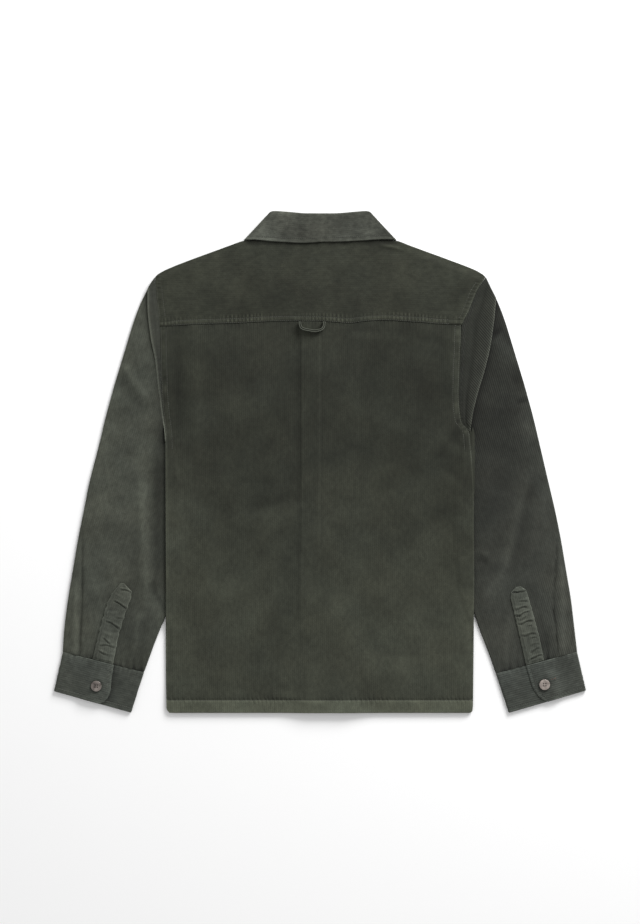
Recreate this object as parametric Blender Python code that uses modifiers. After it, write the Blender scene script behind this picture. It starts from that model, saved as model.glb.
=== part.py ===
"""A corduroy shirt-jacket laid flat on its front with its back up.

Sizes are in millimetres here and in metres in the objects. +X is to the right as seen from
above, +Y runs from the hem to the collar and +Z is up. The wearer's left is at -X.
"""

import math

import bpy
from mathutils import Vector
from mathutils.geometry import interpolate_bezier

MM = 0.001
CLOTH = 1.6
SEAM_GAP = 0.3
HALF_SEAM = SEAM_GAP / 2
LAYER_AIR = 0.1
COLLAR_WALL = 2.0
CUFF_WALL = 2.0

# Body
CENTRE_BACK_X = -13.9
CENTRE_FRONT_X = 13.0
YOKE_SEAM_Y = 211.0
HEM_Y = -375.4
HEM_STITCH_Y = -356.5
HEM_EXTRA = 0.8
AIR = 2.8
AIR_TAKEN = 0.85
LEAST_AIR = 0.3
ROLL_WIDTH = 13.0
HEM_ROLL_WIDTH = 30.0
ARMPIT_Y = 45.0
EDGE_AIR = {"above_armpit": 0.45, "below_armpit": 0.05, "shoulder": 0.1, "hem": 0.35}
COLLAR_PRESS = {"y": 296.0, "length": 26.0, "half_width": 132.0, "fade": 24.0, "air": 0.45}
PLEAT_WIDTH = 28.5
PLEAT_RISE = 1.6
PLEAT_END_Y = -312.0
PLEAT_EDGE = 1.2
PLEAT_FADE = 120.0
SEAM_STEP = 0.5
SEAM_STEP_LENGTH = 9.0
OVERLAP_HALF = 19.0
LAP_REACH = 30.0
LAP_SLOPE = 28.0
NECK_BRIDGE = 34.0
NECK_TOP_Y = 320.0
COVER_WIDTH = 78.0
NECK_RAISE = 2.4
NECK_RAISE_X = 116.0
NECK_RAISE_Y = 218.0
NECK_FALL = 40.0
TUCK_LIFT = 4.2
TUCK_TOP_Y = 66.0
TUCK_FULL_Y = 30.0
TUCK_LOW_Y = -230.0
TUCK_END_Y = -264.0
TUCK_REACH = 30.0
TUCK_SLOPE = 28.0
TUCK_SIDE_GAP = 1.5

# Sleeves
SLEEVE_EDGE_HEIGHT = 4.4
SLEEVE_INNER_HEIGHT = 3.8
SLEEVE_ROUND = 1.3
SLEEVE_ROUND_INSIDE = 2.4
SLEEVE_EDGE_DROP = 0.45
SLEEVE_EDGE_LIFT = 0.25
SLEEVE_SHOULDER = 26.0
SLEEVE_UNDER_Y = 62.0
SLEEVE_UNDER_LENGTH = 24.0
CREASE_FADE = 12.0
ARMHOLE_SECTIONS = 4

# Buttons
BUTTON_RADIUS = 8.0
BUTTON_THICK = 2.4
BUTTON_HOLE_RADIUS = 0.9
BUTTON_HOLE_OFFSET = 2.3
BUTTON_COVER = 40.0
BUTTON_SLOPE = 30.0
BUTTON_AIR = 0.2
# Columns: share of the button's radius, share of its thickness
BUTTON_PROFILE = ((0.0, 0.0), (0.8, 0.0), (1.0, 0.35), (0.97, 0.85), (0.84, 1.0), (0.66, 0.78), (0.0, 0.7))
FRONT_BUTTON_Y = (232.0, 130.0, 28.0, -74.0, -176.0, -278.0)

# Locker loop
LOOP_LEFT_X = -31.5
LOOP_RIGHT_X = 8.5
LOOP_DEPTH = 16.5
LOOP_STRIP = 3.6
LOOP_HEIGHT = 6.0
LOOP_CORNER = 5.0

# Distances of the first columns from the body's side, and heights of its rows
SIDE_STEPS = (0.0, 2.5, 6.0, 12.0, 20.0, 30.0, 44.0)
BODY_ROWS = (
    180.0, 145.0, 110.0, 84.0, 66.0, 54.0, 42.0, 30.0, 12.0, -24.0, -62.0,
    -100.0, -138.0, -176.0, -208.0, -230.0, -247.0, -264.0, -298.0, -332.0,
)

# Columns: x of the body's left edge, y
BODY_LEFT = (
    (-247.1, 277.1),
    (-244.1, 242.6),
    (-240.2, 211.0),
    (-239.0, 167.6),
    (-236.6, 92.6),
    (-231.2, 45.0),
    (-230.3, 19.1),
    (-229.9, -57.4),
    (-230.6, -207.4),
    (-230.6, -282.4),
    (-230.4, -357.4),
    (-229.6, -369.4),
    (-225.6, -375.4),
)
# Columns: x of the body's right edge, y
BODY_RIGHT = (
    (248.8, 277.9),
    (235.9, 257.6),
    (223.0, 226.1),
    (212.9, 206.0),
    (211.9, 191.6),
    (208.6, 106.1),
    (210.1, 77.6),
    (214.3, 47.6),
    (223.0, 19.1),
    (228.4, -4.9),
    (230.6, -57.4),
    (231.4, -207.4),
    (229.9, -357.4),
    (228.9, -369.4),
    (223.4, -375.4),
)
# Columns: x, y of the shoulder line from the neck out to the tip
SHOULDER_LEFT = (
    (-95.0, 332.6),
    (-106.0, 328.8),
    (-117.0, 328.8),
    (-131.6, 326.0),
    (-152.6, 318.8),
    (-193.6, 303.8),
    (-229.6, 289.4),
    (-247.1, 277.1),
)
SHOULDER_RIGHT = (
    (96.5, 332.6),
    (109.0, 328.8),
    (120.0, 328.8),
    (133.0, 326.2),
    (152.6, 318.8),
    (193.6, 303.8),
    (231.0, 289.4),
    (248.8, 277.9),
)
BACK_NECK = ((-95.0, 332.6), (-60.0, 332.8), (0.0, 332.8), (60.0, 332.8), (96.5, 332.6))
# Columns: x, y of the front neckline from the neck point to the edge of the overlap
FRONT_NECK_LEFT = ((-95.0, 332.6), (-84.0, 306.0), (-58.0, 280.0), (-22.0, 267.0), (32.0, 263.0))
FRONT_NECK_RIGHT = ((96.5, 332.6), (88.0, 306.0), (68.0, 282.0), (38.0, 269.0), (-6.0, 264.0))

# Soft folds of the back. Columns: x and y at both ends, half width, height
BACK_FOLDS = (
    (-105.0, -70.0, -28.0, -48.0, 13.0, -1.1),
    (-118.0, -92.0, -30.0, -74.0, 16.0, 1.0),
    (-190.0, 60.0, -70.0, 95.0, 22.0, 0.8),
    (60.0, 70.0, 180.0, 30.0, 24.0, 0.9),
    (110.0, -120.0, 205.0, -60.0, 20.0, -0.9),
    (30.0, -210.0, 150.0, -190.0, 26.0, 0.7),
    (-200.0, -170.0, -90.0, -215.0, 24.0, 0.8),
    (-170.0, -300.0, -60.0, -285.0, 20.0, -0.7),
    (70.0, -300.0, 170.0, -320.0, 20.0, 0.7),
    (-130.0, 180.0, -60.0, 150.0, 20.0, 0.6),
    (90.0, 185.0, 60.0, 130.0, 18.0, -0.6),
)
YOKE_FOLDS = (
    (-150.0, 262.0, -90.0, 240.0, 16.0, 0.6),
    (80.0, 252.0, 160.0, 268.0, 18.0, 0.7),
    (-40.0, 290.0, 40.0, 292.0, 16.0, -0.5),
)

# Left sleeve sections from the armhole to the cuff, four points each from the outer fold to
# the inner fold. Columns: x, y of the four points, height of the top in the middle.
SLEEVE_LEFT = (
    (-247.4, 277.1, -240.5, 207.0, -238.0, 130.0, -231.6, 42.0, 5.0),
    (-253.0, 269.5, -249.6, 205.0, -243.0, 133.0, -231.6, 37.0, 7.0),
    (-258.6, 259.0, -257.0, 204.0, -246.2, 135.0, -231.3, 30.0, 8.2),
    (-262.6, 250.6, -260.8, 203.0, -249.4, 134.0, -231.0, 22.0, 4.7),
    (-268.6, 237.6, -265.0, 190.0, -254.0, 120.0, -229.0, 14.0, 5.2),
    (-278.0, 212.0, -270.0, 165.0, -255.0, 98.0, -226.0, 4.0, 5.6),
    (-291.0, 171.0, -280.0, 123.0, -258.0, 64.0, -222.0, -16.0, 6.0),
    (-310.1, 107.6, -287.0, 65.0, -255.0, 12.0, -217.5, -42.0, 5.6),
    (-332.6, 17.6, -296.0, -15.0, -256.0, -48.0, -214.5, -87.4, 6.2),
    (-351.0, -60.0, -306.0, -84.0, -262.0, -108.0, -217.1, -140.0, 5.4),
    (-367.0, -142.0, -319.0, -157.0, -271.0, -173.0, -225.0, -192.0, 6.0),
    (-378.6, -215.0, -330.0, -225.0, -282.0, -236.0, -238.5, -246.0, 5.4),
    (-383.8, -258.0, -340.0, -268.0, -296.0, -279.0, -253.6, -287.0, 5.0),
    (-385.0, -283.2, -344.3, -293.7, -303.6, -303.9, -263.0, -314.2, 4.9),
)
SLEEVE_RIGHT = (
    (249.1, 277.6, 221.0, 220.0, 210.5, 110.0, 214.8, 46.0, 5.0),
    (255.6, 268.0, 240.0, 190.0, 223.0, 125.0, 218.4, 36.0, 6.6),
    (263.6, 253.0, 255.0, 174.0, 233.0, 98.0, 223.6, 22.0, 8.6),
    (267.6, 244.0, 259.0, 172.0, 236.6, 95.0, 225.4, 10.0, 4.7),
    (272.0, 230.0, 264.0, 160.0, 243.0, 84.0, 221.0, -3.0, 5.4),
    (280.0, 205.0, 269.0, 145.0, 247.0, 70.0, 218.0, -16.0, 5.8),
    (293.0, 164.0, 279.0, 110.0, 252.0, 46.0, 214.8, -34.0, 6.0),
    (309.4, 107.6, 287.0, 62.0, 254.0, 2.0, 212.4, -60.0, 5.4),
    (331.9, 17.6, 296.0, -18.0, 256.0, -56.0, 212.4, -100.0, 6.2),
    (350.5, -60.0, 306.0, -84.0, 262.0, -112.0, 214.9, -147.4, 5.6),
    (366.8, -142.0, 319.0, -158.0, 271.0, -175.0, 223.0, -198.0, 6.0),
    (378.2, -215.0, 330.0, -226.0, 282.0, -238.0, 238.5, -248.0, 5.4),
    (382.4, -258.0, 340.0, -268.0, 296.0, -279.0, 254.0, -288.0, 5.0),
    (385.8, -283.2, 345.2, -294.0, 304.6, -304.9, 263.6, -315.8, 4.9),
)
SLEEVE_STEPS = 2
# Shares of a sleeve's width, from the outer fold over the top and back along the underside
TOP_SHARES = (0.06, 0.14, 0.25, 0.37, 0.5, 0.62, 0.74, 0.85, 0.94)
UNDER_SHARES = (0.94, 0.7, 0.45, 0.2, 0.06)

# Creases of the sleeves. Columns: x and y at both ends, half width, height
FOLDS_LEFT = (
    (-297.0, 146.0, -262.0, 98.0, 8.0, 1.6),
    (-268.0, -30.0, -262.0, -190.0, 9.0, 1.5),
    (-244.0, -20.0, -247.0, -200.0, 8.0, -0.6),
    (-340.0, -40.0, -300.0, -90.0, 12.0, 1.2),
    (-318.0, 30.0, -280.0, 10.0, 12.0, -1.0),
    (-352.0, -150.0, -330.0, -200.0, 10.0, 1.2),
    (-366.0, -180.0, -368.0, -284.0, 5.5, 1.7),
    (-354.5, -170.0, -356.0, -284.0, 4.5, -1.2),
)
FOLDS_RIGHT = (
    (262.0, 180.0, 302.0, 150.0, 10.0, 1.0),
    (262.0, 98.0, 318.0, 84.0, 11.0, -1.2),
    (304.0, -46.0, 273.0, -168.0, 9.0, 1.6),
    (273.0, -168.0, 246.0, -205.0, 8.0, 1.3),
    (330.0, -20.0, 300.0, -60.0, 12.0, -0.9),
    (352.0, -95.0, 346.0, -230.0, 5.0, -1.3),
    (346.0, -230.0, 355.0, -288.0, 4.0, -1.2),
    (363.0, -120.0, 361.0, -284.0, 6.5, 1.7),
)

# Sleeve plackets. Columns: x, y of the left edge, x, y of the right edge, from cuff to tip
PLACKET_LEFT = (
    (-340.3, -294.6, -309.6, -302.3),
    (-333.6, -266.0, -302.0, -262.0),
    (-327.0, -240.0, -292.6, -230.0),
    (-319.0, -212.0, -283.0, -204.0),
    (-311.6, -197.0, -281.5, -193.5),
    (-299.0, -181.5, -293.4, -180.6),
)
PLACKET_RIGHT = (
    (309.0, -303.6, 335.9, -296.4),
    (300.6, -266.0, 329.0, -262.0),
    (293.0, -233.0, 320.0, -228.0),
    (286.0, -204.0, 311.6, -198.0),
    (286.6, -194.6, 308.6, -190.4),
    (294.0, -186.6, 301.0, -185.6),
)
PLACKET_WALL = 1.5
PLACKET_PUCKERS = 12
PLACKET_RISE = 0.7
PLACKET_AIR = 0.15
PLACKET_SHARES = (0.0, 0.18, 0.5, 0.82, 1.0)

# Cuffs. Columns: x, y of the outer top, outer bottom, inner bottom and inner top corners
CUFF_LEFT = ((-385.1, -283.9), (-398.6, -342.8), (-282.4, -375.1), (-263.3, -314.6))
CUFF_RIGHT = ((385.9, -283.9), (399.4, -341.8), (283.1, -375.4), (263.9, -316.4))
# Columns: share of the cuff's depth, where the upper end stops as a share of its width
CUFF_END_LEFT = ((0.0, 0.63), (0.3, 0.645), (0.6, 0.675), (0.8, 0.67), (0.93, 0.635), (1.0, 0.59))
CUFF_END_RIGHT = ((0.0, 0.63), (0.3, 0.63), (0.55, 0.628), (0.8, 0.59), (0.93, 0.545), (1.0, 0.49))
CUFF_UNDER_END = 0.38
CUFF_FOLD_GAP = 0.6
CUFF_LAP_GAP = 0.35
CUFF_LAP_RISE = 1.2
CUFF_ROWS = (0.0, 0.06, 0.25, 0.5, 0.7, 0.84, 0.93, 0.98, 1.0)
CUFF_BUTTON_LEFT = (-334.6, -334.9)
CUFF_BUTTON_RIGHT = (336.7, -332.8)

# Collar sections from the centre of the back round one side to the front edge, mirrored for
# the other side. Columns: x, y of the fold, x, y of the outer edge, x, y of the neck seam,
# turn of the section in degrees (0 at the back, 180 at the front)
COLLAR = (
    (0.0, 371.4, 0.0, 329.2, 0.0, 334.4, 0.0),
    (26.0, 371.6, 29.0, 328.6, 25.0, 334.4, 0.0),
    (50.0, 373.6, 60.0, 329.8, 50.0, 334.6, 0.0),
    (66.0, 375.0, 88.0, 331.6, 72.0, 335.2, 0.0),
    (73.0, 374.6, 107.0, 331.6, 84.0, 336.4, 12.0),
    (75.6, 373.0, 111.8, 331.6, 90.0, 338.2, 50.0),
    (76.6, 371.0, 113.2, 331.0, 92.4, 338.8, 90.0),
    (75.6, 369.0, 110.8, 331.0, 91.0, 336.6, 130.0),
    (73.0, 366.0, 106.8, 330.0, 88.0, 333.0, 166.0),
    (64.0, 346.0, 100.0, 292.0, 80.0, 310.0, 180.0),
    (48.0, 318.0, 82.0, 246.0, 62.0, 286.0, 180.0),
    (26.0, 302.0, 66.0, 232.0, 36.0, 272.5, 180.0),
    (6.0, 297.0, 12.0, 262.0, 8.0, 269.0, 180.0),
)
COLLAR_CENTRE_X = 1.9
COLLAR_MID_Z = 4.5
COLLAR_RADIUS = 4.5
COLLAR_LAYER_GAP = 0.35
COLLAR_SPLIT = (8, 11)
LEAF_SHARES = (1.0, 0.9, 0.6, 0.3, 0.06)
BAND_SHARES = (0.06, 0.3, 0.65, 1.0)

colours = {
    "corduroy": (0.046, 0.051, 0.036, 1.0),
    "horn": (0.19, 0.16, 0.14, 1.0),
}


def material(name, rough):
    made = bpy.data.materials.new(name)
    made.use_nodes = True
    shader = made.node_tree.nodes["Principled BSDF"]
    shader.inputs["Base Color"].default_value = colours[name.split("_")[0]]
    shader.inputs["Roughness"].default_value = rough
    shader.inputs["Metallic"].default_value = 0.0
    return made


def ease(t):
    t = min(max(t, 0.0), 1.0)
    return t * t * (3 - 2 * t)


def along(points, share):
    """The point at this share of a line's length."""
    lengths = [math.dist(a[:2], b[:2]) for a, b in zip(points, points[1:])]
    left = share * sum(lengths)
    for a, b, length in zip(points, points[1:], lengths):
        if left <= length or b is points[-1]:
            t = min(left / length, 1.0)
            return tuple(p + t * (q - p) for p, q in zip(a, b))
        left -= length


def smoothed(points, parts):
    """The line through these points as a smooth curve of short steps."""
    made = []
    last = len(points) - 1
    for i in range(last):
        a, b = Vector(points[i][:2]), Vector(points[i + 1][:2])
        before = Vector(points[max(i - 1, 0)][:2])
        after = Vector(points[min(i + 2, last)][:2])
        reach = (b - a).length / 3
        lead = (b - before).normalized() * reach
        trail = (after - a).normalized() * reach
        made += [tuple(p)[:2] for p in interpolate_bezier(a, a + lead, b - trail, b, parts + 1)[:-1]]
    made.append(tuple(points[-1][:2]))
    return made


def distance(x, y, line):
    """How far a point is from a line of points."""
    best = 1e9
    for (ax, ay), (bx, by) in zip(line, line[1:]):
        dx, dy = bx - ax, by - ay
        t = ((x - ax) * dx + (y - ay) * dy) / (dx * dx + dy * dy)
        t = min(max(t, 0.0), 1.0)
        best = min(best, math.hypot(x - ax - t * dx, y - ay - t * dy))
    return best


def at_y(line, y):
    """The x of a line of points at this y, where y falls along the line."""
    if y >= line[0][1]:
        return line[0][0]
    for (ax, ay), (bx, by) in zip(line, line[1:]):
        if by <= y <= ay:
            return ax + (bx - ax) * (ay - y) / (ay - by)
    return line[-1][0]


def folds(x, y, table):
    total = 0.0
    for ax, ay, bx, by, width, height in table:
        dx, dy = bx - ax, by - ay
        t = ((x - ax) * dx + (y - ay) * dy) / (dx * dx + dy * dy)
        off = abs((x - ax) * dy - (y - ay) * dx) / math.hypot(dx, dy)
        ends = ease((t + 0.25) / 0.4) * ease((1.25 - t) / 0.4)
        total += height * ends * math.exp(-((off / width) ** 2))
    return total


def solid(name, collection, slot, outer, inner, closed=False):
    """A wall between two equal grids of points, closed at its four rims, or at its two ends
    where the sections are loops."""
    rows, columns = len(outer), len(outer[0])
    points = [p for row in outer for p in row] + [p for row in inner for p in row]
    other = rows * columns
    faces = []
    wrap = columns if closed else columns - 1
    for i in range(rows - 1):
        for j in range(wrap):
            k = (j + 1) % columns
            a, b, c, d = i * columns + j, i * columns + k, (i + 1) * columns + k, (i + 1) * columns + j
            faces.append((a, b, c, d))
            faces.append((other + d, other + c, other + b, other + a))
    for i, flip in ((0, False), (rows - 1, True)):
        for j in range(wrap):
            k = (j + 1) % columns
            face = (i * columns + k, i * columns + j, other + i * columns + j, other + i * columns + k)
            faces.append(face[::-1] if flip else face)
    if not closed:
        for j, flip in ((0, True), (columns - 1, False)):
            for i in range(rows - 1):
                a, b = i * columns + j, (i + 1) * columns + j
                face = (b, a, other + a, other + b)
                faces.append(face[::-1] if flip else face)
    volume = 0.0
    for face in faces:
        a = Vector(points[face[0]])
        for p, q in zip(face[1:], face[2:]):
            volume += a.dot(Vector(points[p]).cross(Vector(points[q])))
    if volume < 0:
        faces = [face[::-1] for face in faces]
    mesh = bpy.data.meshes.new(name)
    mesh.from_pydata([tuple(v * MM for v in p) for p in points], [], faces)
    made = bpy.data.objects.new(name, mesh)
    made.data.materials.append(slot)
    collection.objects.link(made)
    return made


def spread(count, edges):
    """Shares from 0 to 1 with closer steps given near both ends."""
    low, high = edges[-1], 1 - edges[-1]
    middle = [low + (high - low) * i / count for i in range(1, count)]
    return list(edges) + middle + [1 - e for e in reversed(edges)]


body_left = smoothed(BODY_LEFT, 4)
body_right = smoothed(BODY_RIGHT, 4)
shoulder_left = smoothed(SHOULDER_LEFT, 3)
shoulder_right = smoothed(SHOULDER_RIGHT, 3)
back_neck = smoothed(BACK_NECK, 3)
inner_left = [(row[6], row[7]) for row in SLEEVE_LEFT]
inner_right = [(row[6], row[7]) for row in SLEEVE_RIGHT]


def button_raise(x):
    """Height of the left front over the buttons."""
    share = ease((BUTTON_COVER - abs(x - CENTRE_FRONT_X)) / BUTTON_SLOPE)
    return (BUTTON_THICK + SEAM_GAP + BUTTON_AIR) * share


def neck_raise(x, y):
    """Height of the fronts over the ends of the collar."""
    across = ease((NECK_RAISE_X + NECK_FALL - abs(x - COLLAR_CENTRE_X)) / NECK_FALL)
    return NECK_RAISE * across * ease((y - NECK_RAISE_Y + NECK_FALL) / NECK_FALL)


def tuck_lift(x, y):
    """Height of the body's sides over the sleeves tucked under them."""
    reach_y = ease((TUCK_TOP_Y - y) / (TUCK_TOP_Y - TUCK_FULL_Y))
    reach_y *= ease((y - TUCK_END_Y) / (TUCK_LOW_Y - TUCK_END_Y))
    if reach_y == 0.0:
        return 0.0
    if x < 0:
        gap = x - (at_y(inner_left, y) + TUCK_SIDE_GAP)
    else:
        gap = (at_y(inner_right, y) - TUCK_SIDE_GAP) - x
    return TUCK_LIFT * reach_y * ease((TUCK_REACH - gap) / TUCK_SLOPE)


def front_left_z(x, y):
    return max(neck_raise(x, y), button_raise(x), tuck_lift(x, y))


def front_right_z(x, y):
    over = CLOTH + SEAM_GAP + LAYER_AIR
    lap = ease((CENTRE_FRONT_X + OVERLAP_HALF + LAP_REACH - x) / LAP_SLOPE)
    return max(front_left_z(x, y) + over * lap, 0.0)


def fronts_top(x, y):
    """Top of the two fronts and a smooth bridge over their edges."""
    bridge = ease((COVER_WIDTH - abs(x - CENTRE_FRONT_X)) / (COVER_WIDTH - OVERLAP_HALF - 4))
    bridge *= ease((NECK_TOP_Y - y) / NECK_BRIDGE)
    peak = button_raise(CENTRE_FRONT_X) + CLOTH + SEAM_GAP + LAYER_AIR
    low = front_left_z(x, y)
    return CLOTH + max(low, low * (1 - bridge) + max(peak, low) * bridge)


def back_z(x, y):
    """Underside of the yoke and the back before their own folds, and how far the cloth is
    off its edges."""
    side = min(distance(x, y, body_left), distance(x, y, body_right))
    top = min(distance(x, y, shoulder_left), distance(x, y, shoulder_right))
    at_side = EDGE_AIR["above_armpit" if y > ARMPIT_Y else "below_armpit"]
    edges = ((at_side, side / ROLL_WIDTH), (EDGE_AIR["shoulder"], top / ROLL_WIDTH))
    edges += ((EDGE_AIR["hem"], (y - HEM_Y) / HEM_ROLL_WIDTH),)
    rolled = min(least + (1 - least) * ease(share) for least, share in edges)
    low = fronts_top(x, y)
    air = max(AIR - AIR_TAKEN * (low - CLOTH), LEAST_AIR)
    press = COLLAR_PRESS
    pressed = ease((y - press["y"]) / press["length"])
    pressed *= ease((press["half_width"] - abs(x - COLLAR_CENTRE_X)) / press["fade"])
    air = air * (1 - pressed) + press["air"] * pressed
    return low + SEAM_GAP + air * rolled, rolled


def back_panel_z(x, y):
    z, rolled = back_z(x, y)
    half = PLEAT_WIDTH / 2
    off = abs(x - CENTRE_BACK_X)
    pleat = ease((half + PLEAT_EDGE - off) / (2 * PLEAT_EDGE)) * ease((y - PLEAT_END_Y) / PLEAT_FADE)
    z += PLEAT_RISE * pleat
    room = max(z - fronts_top(x, y) - SEAM_GAP, 0.0)
    dip = SEAM_STEP * ease((y - YOKE_SEAM_Y + SEAM_STEP_LENGTH) / SEAM_STEP_LENGTH)
    return z + max((folds(x, y, BACK_FOLDS) - dip) * rolled, -room)


def yoke_z(x, y):
    z, rolled = back_z(x, y)
    room = max(z - fronts_top(x, y) - SEAM_GAP, 0.0)
    z += max(folds(x, y, YOKE_FOLDS) * rolled, -room)
    return z + SEAM_STEP * ease((YOKE_SEAM_Y + SEAM_STEP_LENGTH - y) / SEAM_STEP_LENGTH) * rolled


def clean_scene():
    for item in list(bpy.data.objects):
        bpy.data.objects.remove(item, do_unlink=True)


def panel(name, collection, slot, rows, lift, wall=None):
    """A sheet of cloth from rows of plan points, its underside at this height."""
    wall = wall or (lambda x, y: CLOTH)
    low = [[(x, y, lift(x, y)) for x, y in row] for row in rows]
    high = [[(x, y, z + wall(x, y)) for x, y, z in row] for row in low]
    return solid(name, collection, slot, high, low)


def patch(bottom, top, left, right, across, up):
    """Rows of points between four edge lines that meet at their ends."""
    low_l, low_r, high_l, high_r = bottom(0.0), bottom(1.0), top(0.0), top(1.0)
    rows = []
    for v in up:
        row = []
        for u in across:
            b, t, l, r = bottom(u), top(u), left(v), right(v)
            row.append(
                tuple(
                    (1 - v) * b[k] + v * t[k] + (1 - u) * l[k] + u * r[k]
                    - (1 - u) * (1 - v) * low_l[k] - u * (1 - v) * low_r[k]
                    - (1 - u) * v * high_l[k] - u * v * high_r[k]
                    for k in range(2)
                )
            )
        rows.append(row)
    return rows


def edge_part(line, y_low, y_high, inset):
    """A body edge between two heights, moved in by the seam gap, as a function of its share."""
    def point(share):
        y = y_low + share * (y_high - y_low)
        return (at_y(line, y) + inset, y)
    return point


def build_yoke(collection, slot):
    low = YOKE_SEAM_Y + HALF_SEAM
    left_tip, right_tip = BODY_LEFT[0], BODY_RIGHT[0]
    crest = shoulder_left[::-1] + back_neck[1:-1] + shoulder_right
    crest = [(x, y - HALF_SEAM) for x, y in crest]
    crest[0] = (left_tip[0] + HALF_SEAM, left_tip[1] - HALF_SEAM)
    crest[-1] = (right_tip[0] - HALF_SEAM, right_tip[1] - HALF_SEAM)
    left = edge_part(body_left, low, left_tip[1] - HALF_SEAM, HALF_SEAM)
    right = edge_part(body_right, low, right_tip[1] - HALF_SEAM, -HALF_SEAM)
    x_low, x_high = left(0.0)[0], right(0.0)[0]

    def top(u):
        x = crest[0][0] + u * (crest[-1][0] - crest[0][0])
        for a, b in zip(crest, crest[1:]):
            if a[0] <= x <= b[0]:
                return (x, a[1] + (b[1] - a[1]) * (x - a[0]) / (b[0] - a[0]))
        return crest[-1]

    def bottom(u):
        return (x_low + u * (x_high - x_low), low)

    across = spread(20, (0.0, 0.006, 0.014, 0.026))
    up = (0.0, 0.05, 0.12, 0.3, 0.5, 0.68, 0.82, 0.91, 0.96, 1.0)
    panel("yoke", collection, slot, patch(bottom, top, left, right, across, up), yoke_z)


def hem_wall(x, y):
    return CLOTH + HEM_EXTRA * ease((HEM_STITCH_Y + 1.0 - y) / 2.0)


def build_back(collection, slot):
    high = YOKE_SEAM_Y - HALF_SEAM
    half = PLEAT_WIDTH / 2
    y_steps = [high, high - 4, high - 10] + list(BODY_ROWS)
    y_steps += [HEM_STITCH_Y + 1.4, HEM_STITCH_Y - 1.4, -366.0, -372.0, HEM_Y]
    rows = []
    for y in sorted(y_steps):
        left, right = at_y(body_left, y) + HALF_SEAM, at_y(body_right, y) - HALF_SEAM
        stop, start = CENTRE_BACK_X - half - PLEAT_EDGE, CENTRE_BACK_X + half + PLEAT_EDGE
        xs = [left + d for d in SIDE_STEPS]
        xs += [xs[-1] + (stop - xs[-1]) * i / 4 for i in range(1, 4)]
        xs += [stop, stop + 2 * PLEAT_EDGE, CENTRE_BACK_X, CENTRE_BACK_X + half - PLEAT_EDGE]
        ends = [right - d for d in reversed(SIDE_STEPS)]
        xs += [start, CENTRE_FRONT_X + OVERLAP_HALF]
        xs += [xs[-1] + (ends[0] - xs[-1]) * i / 4 for i in range(1, 4)] + ends
        rows.append([(x, y) for x in xs])
    panel("back_panel", collection, slot, rows, back_panel_z, hem_wall)


def build_front(name, collection, slot, side):
    """One front, side -1 for the wearer's left."""
    line = body_left if side < 0 else body_right
    shoulder = shoulder_left if side < 0 else shoulder_right
    neck = smoothed(FRONT_NECK_LEFT if side < 0 else FRONT_NECK_RIGHT, 3)
    tip = (BODY_LEFT if side < 0 else BODY_RIGHT)[0]
    centre = CENTRE_FRONT_X - side * OVERLAP_HALF
    inset = -side * (HALF_SEAM + 0.45)
    crest = [(x, y - HALF_SEAM) for x, y in shoulder[::-1] + neck[1:]]
    crest[0] = (tip[0] + inset, tip[1] - HALF_SEAM)
    crest[-1] = (centre, crest[-1][1])
    rows = []
    for y in (HEM_Y + 0.6, -368.0) + BODY_ROWS[:1:-1]:
        edge = at_y(line, y) + inset
        xs = [edge - side * d for d in SIDE_STEPS]
        near = CENTRE_FRONT_X + side * 44.0
        xs += [xs[-1] + (near - xs[-1]) * i / 4 for i in range(1, 4)]
        stops = (44.0, 26.0, 10.0, 0.0, -10.0, -OVERLAP_HALF)
        rows.append([(x, y) for x in xs + [CENTRE_FRONT_X + side * d for d in stops]])
    low_row = rows[-1]
    low = low_row[0][1]
    shares = [abs(x - low_row[0][0]) / abs(centre - low_row[0][0]) for x, y in low_row]
    outer = edge_part(line, low, crest[0][1], inset)

    def top(u):
        return along(crest, u)

    def bottom(u):
        return (low_row[0][0] + u * (centre - low_row[0][0]), low)

    def inner(v):
        return (centre, low + v * (crest[-1][1] - low))

    up = (0.17, 0.36, 0.55, 0.72, 0.84, 0.93, 1.0)
    rows += patch(bottom, top, outer, inner, shares, up)
    panel(name, collection, slot, rows, front_left_z if side < 0 else front_right_z)


def section_line(row):
    points = [(row[k], row[k + 1]) for k in (0, 2, 4, 6)]
    return smoothed(points, 6)


def armhole_line(row):
    """The first section, which follows the body's edge."""
    line, side = (body_left, -1) if row[0] < 0 else (body_right, 1)
    steps = [row[1] + (row[7] - row[1]) * i / 24 for i in range(25)]
    return [(at_y(line, y) + side * SEAM_GAP, y) for y in steps]


def sleeve_rows(table):
    """The table's sections and those between them."""
    rows = []
    last = len(table) - 1
    for i in range(last):
        steps = 1 if i < ARMHOLE_SECTIONS else SLEEVE_STEPS
        for k in range(steps):
            t = k / steps
            before, a = table[max(i - 1, 0)], table[i]
            b, after = table[i + 1], table[min(i + 2, last)]
            if i < ARMHOLE_SECTIONS:
                rows.append(a)
                continue
            rows.append(
                tuple(
                    q + 0.5 * t * (r - p + t * (2 * p - 5 * q + 4 * r - s + t * (3 * (q - r) + s - p)))
                    for p, q, r, s in zip(before, a, b, after)
                )
            )
    rows.append(table[last])
    return rows


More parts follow.
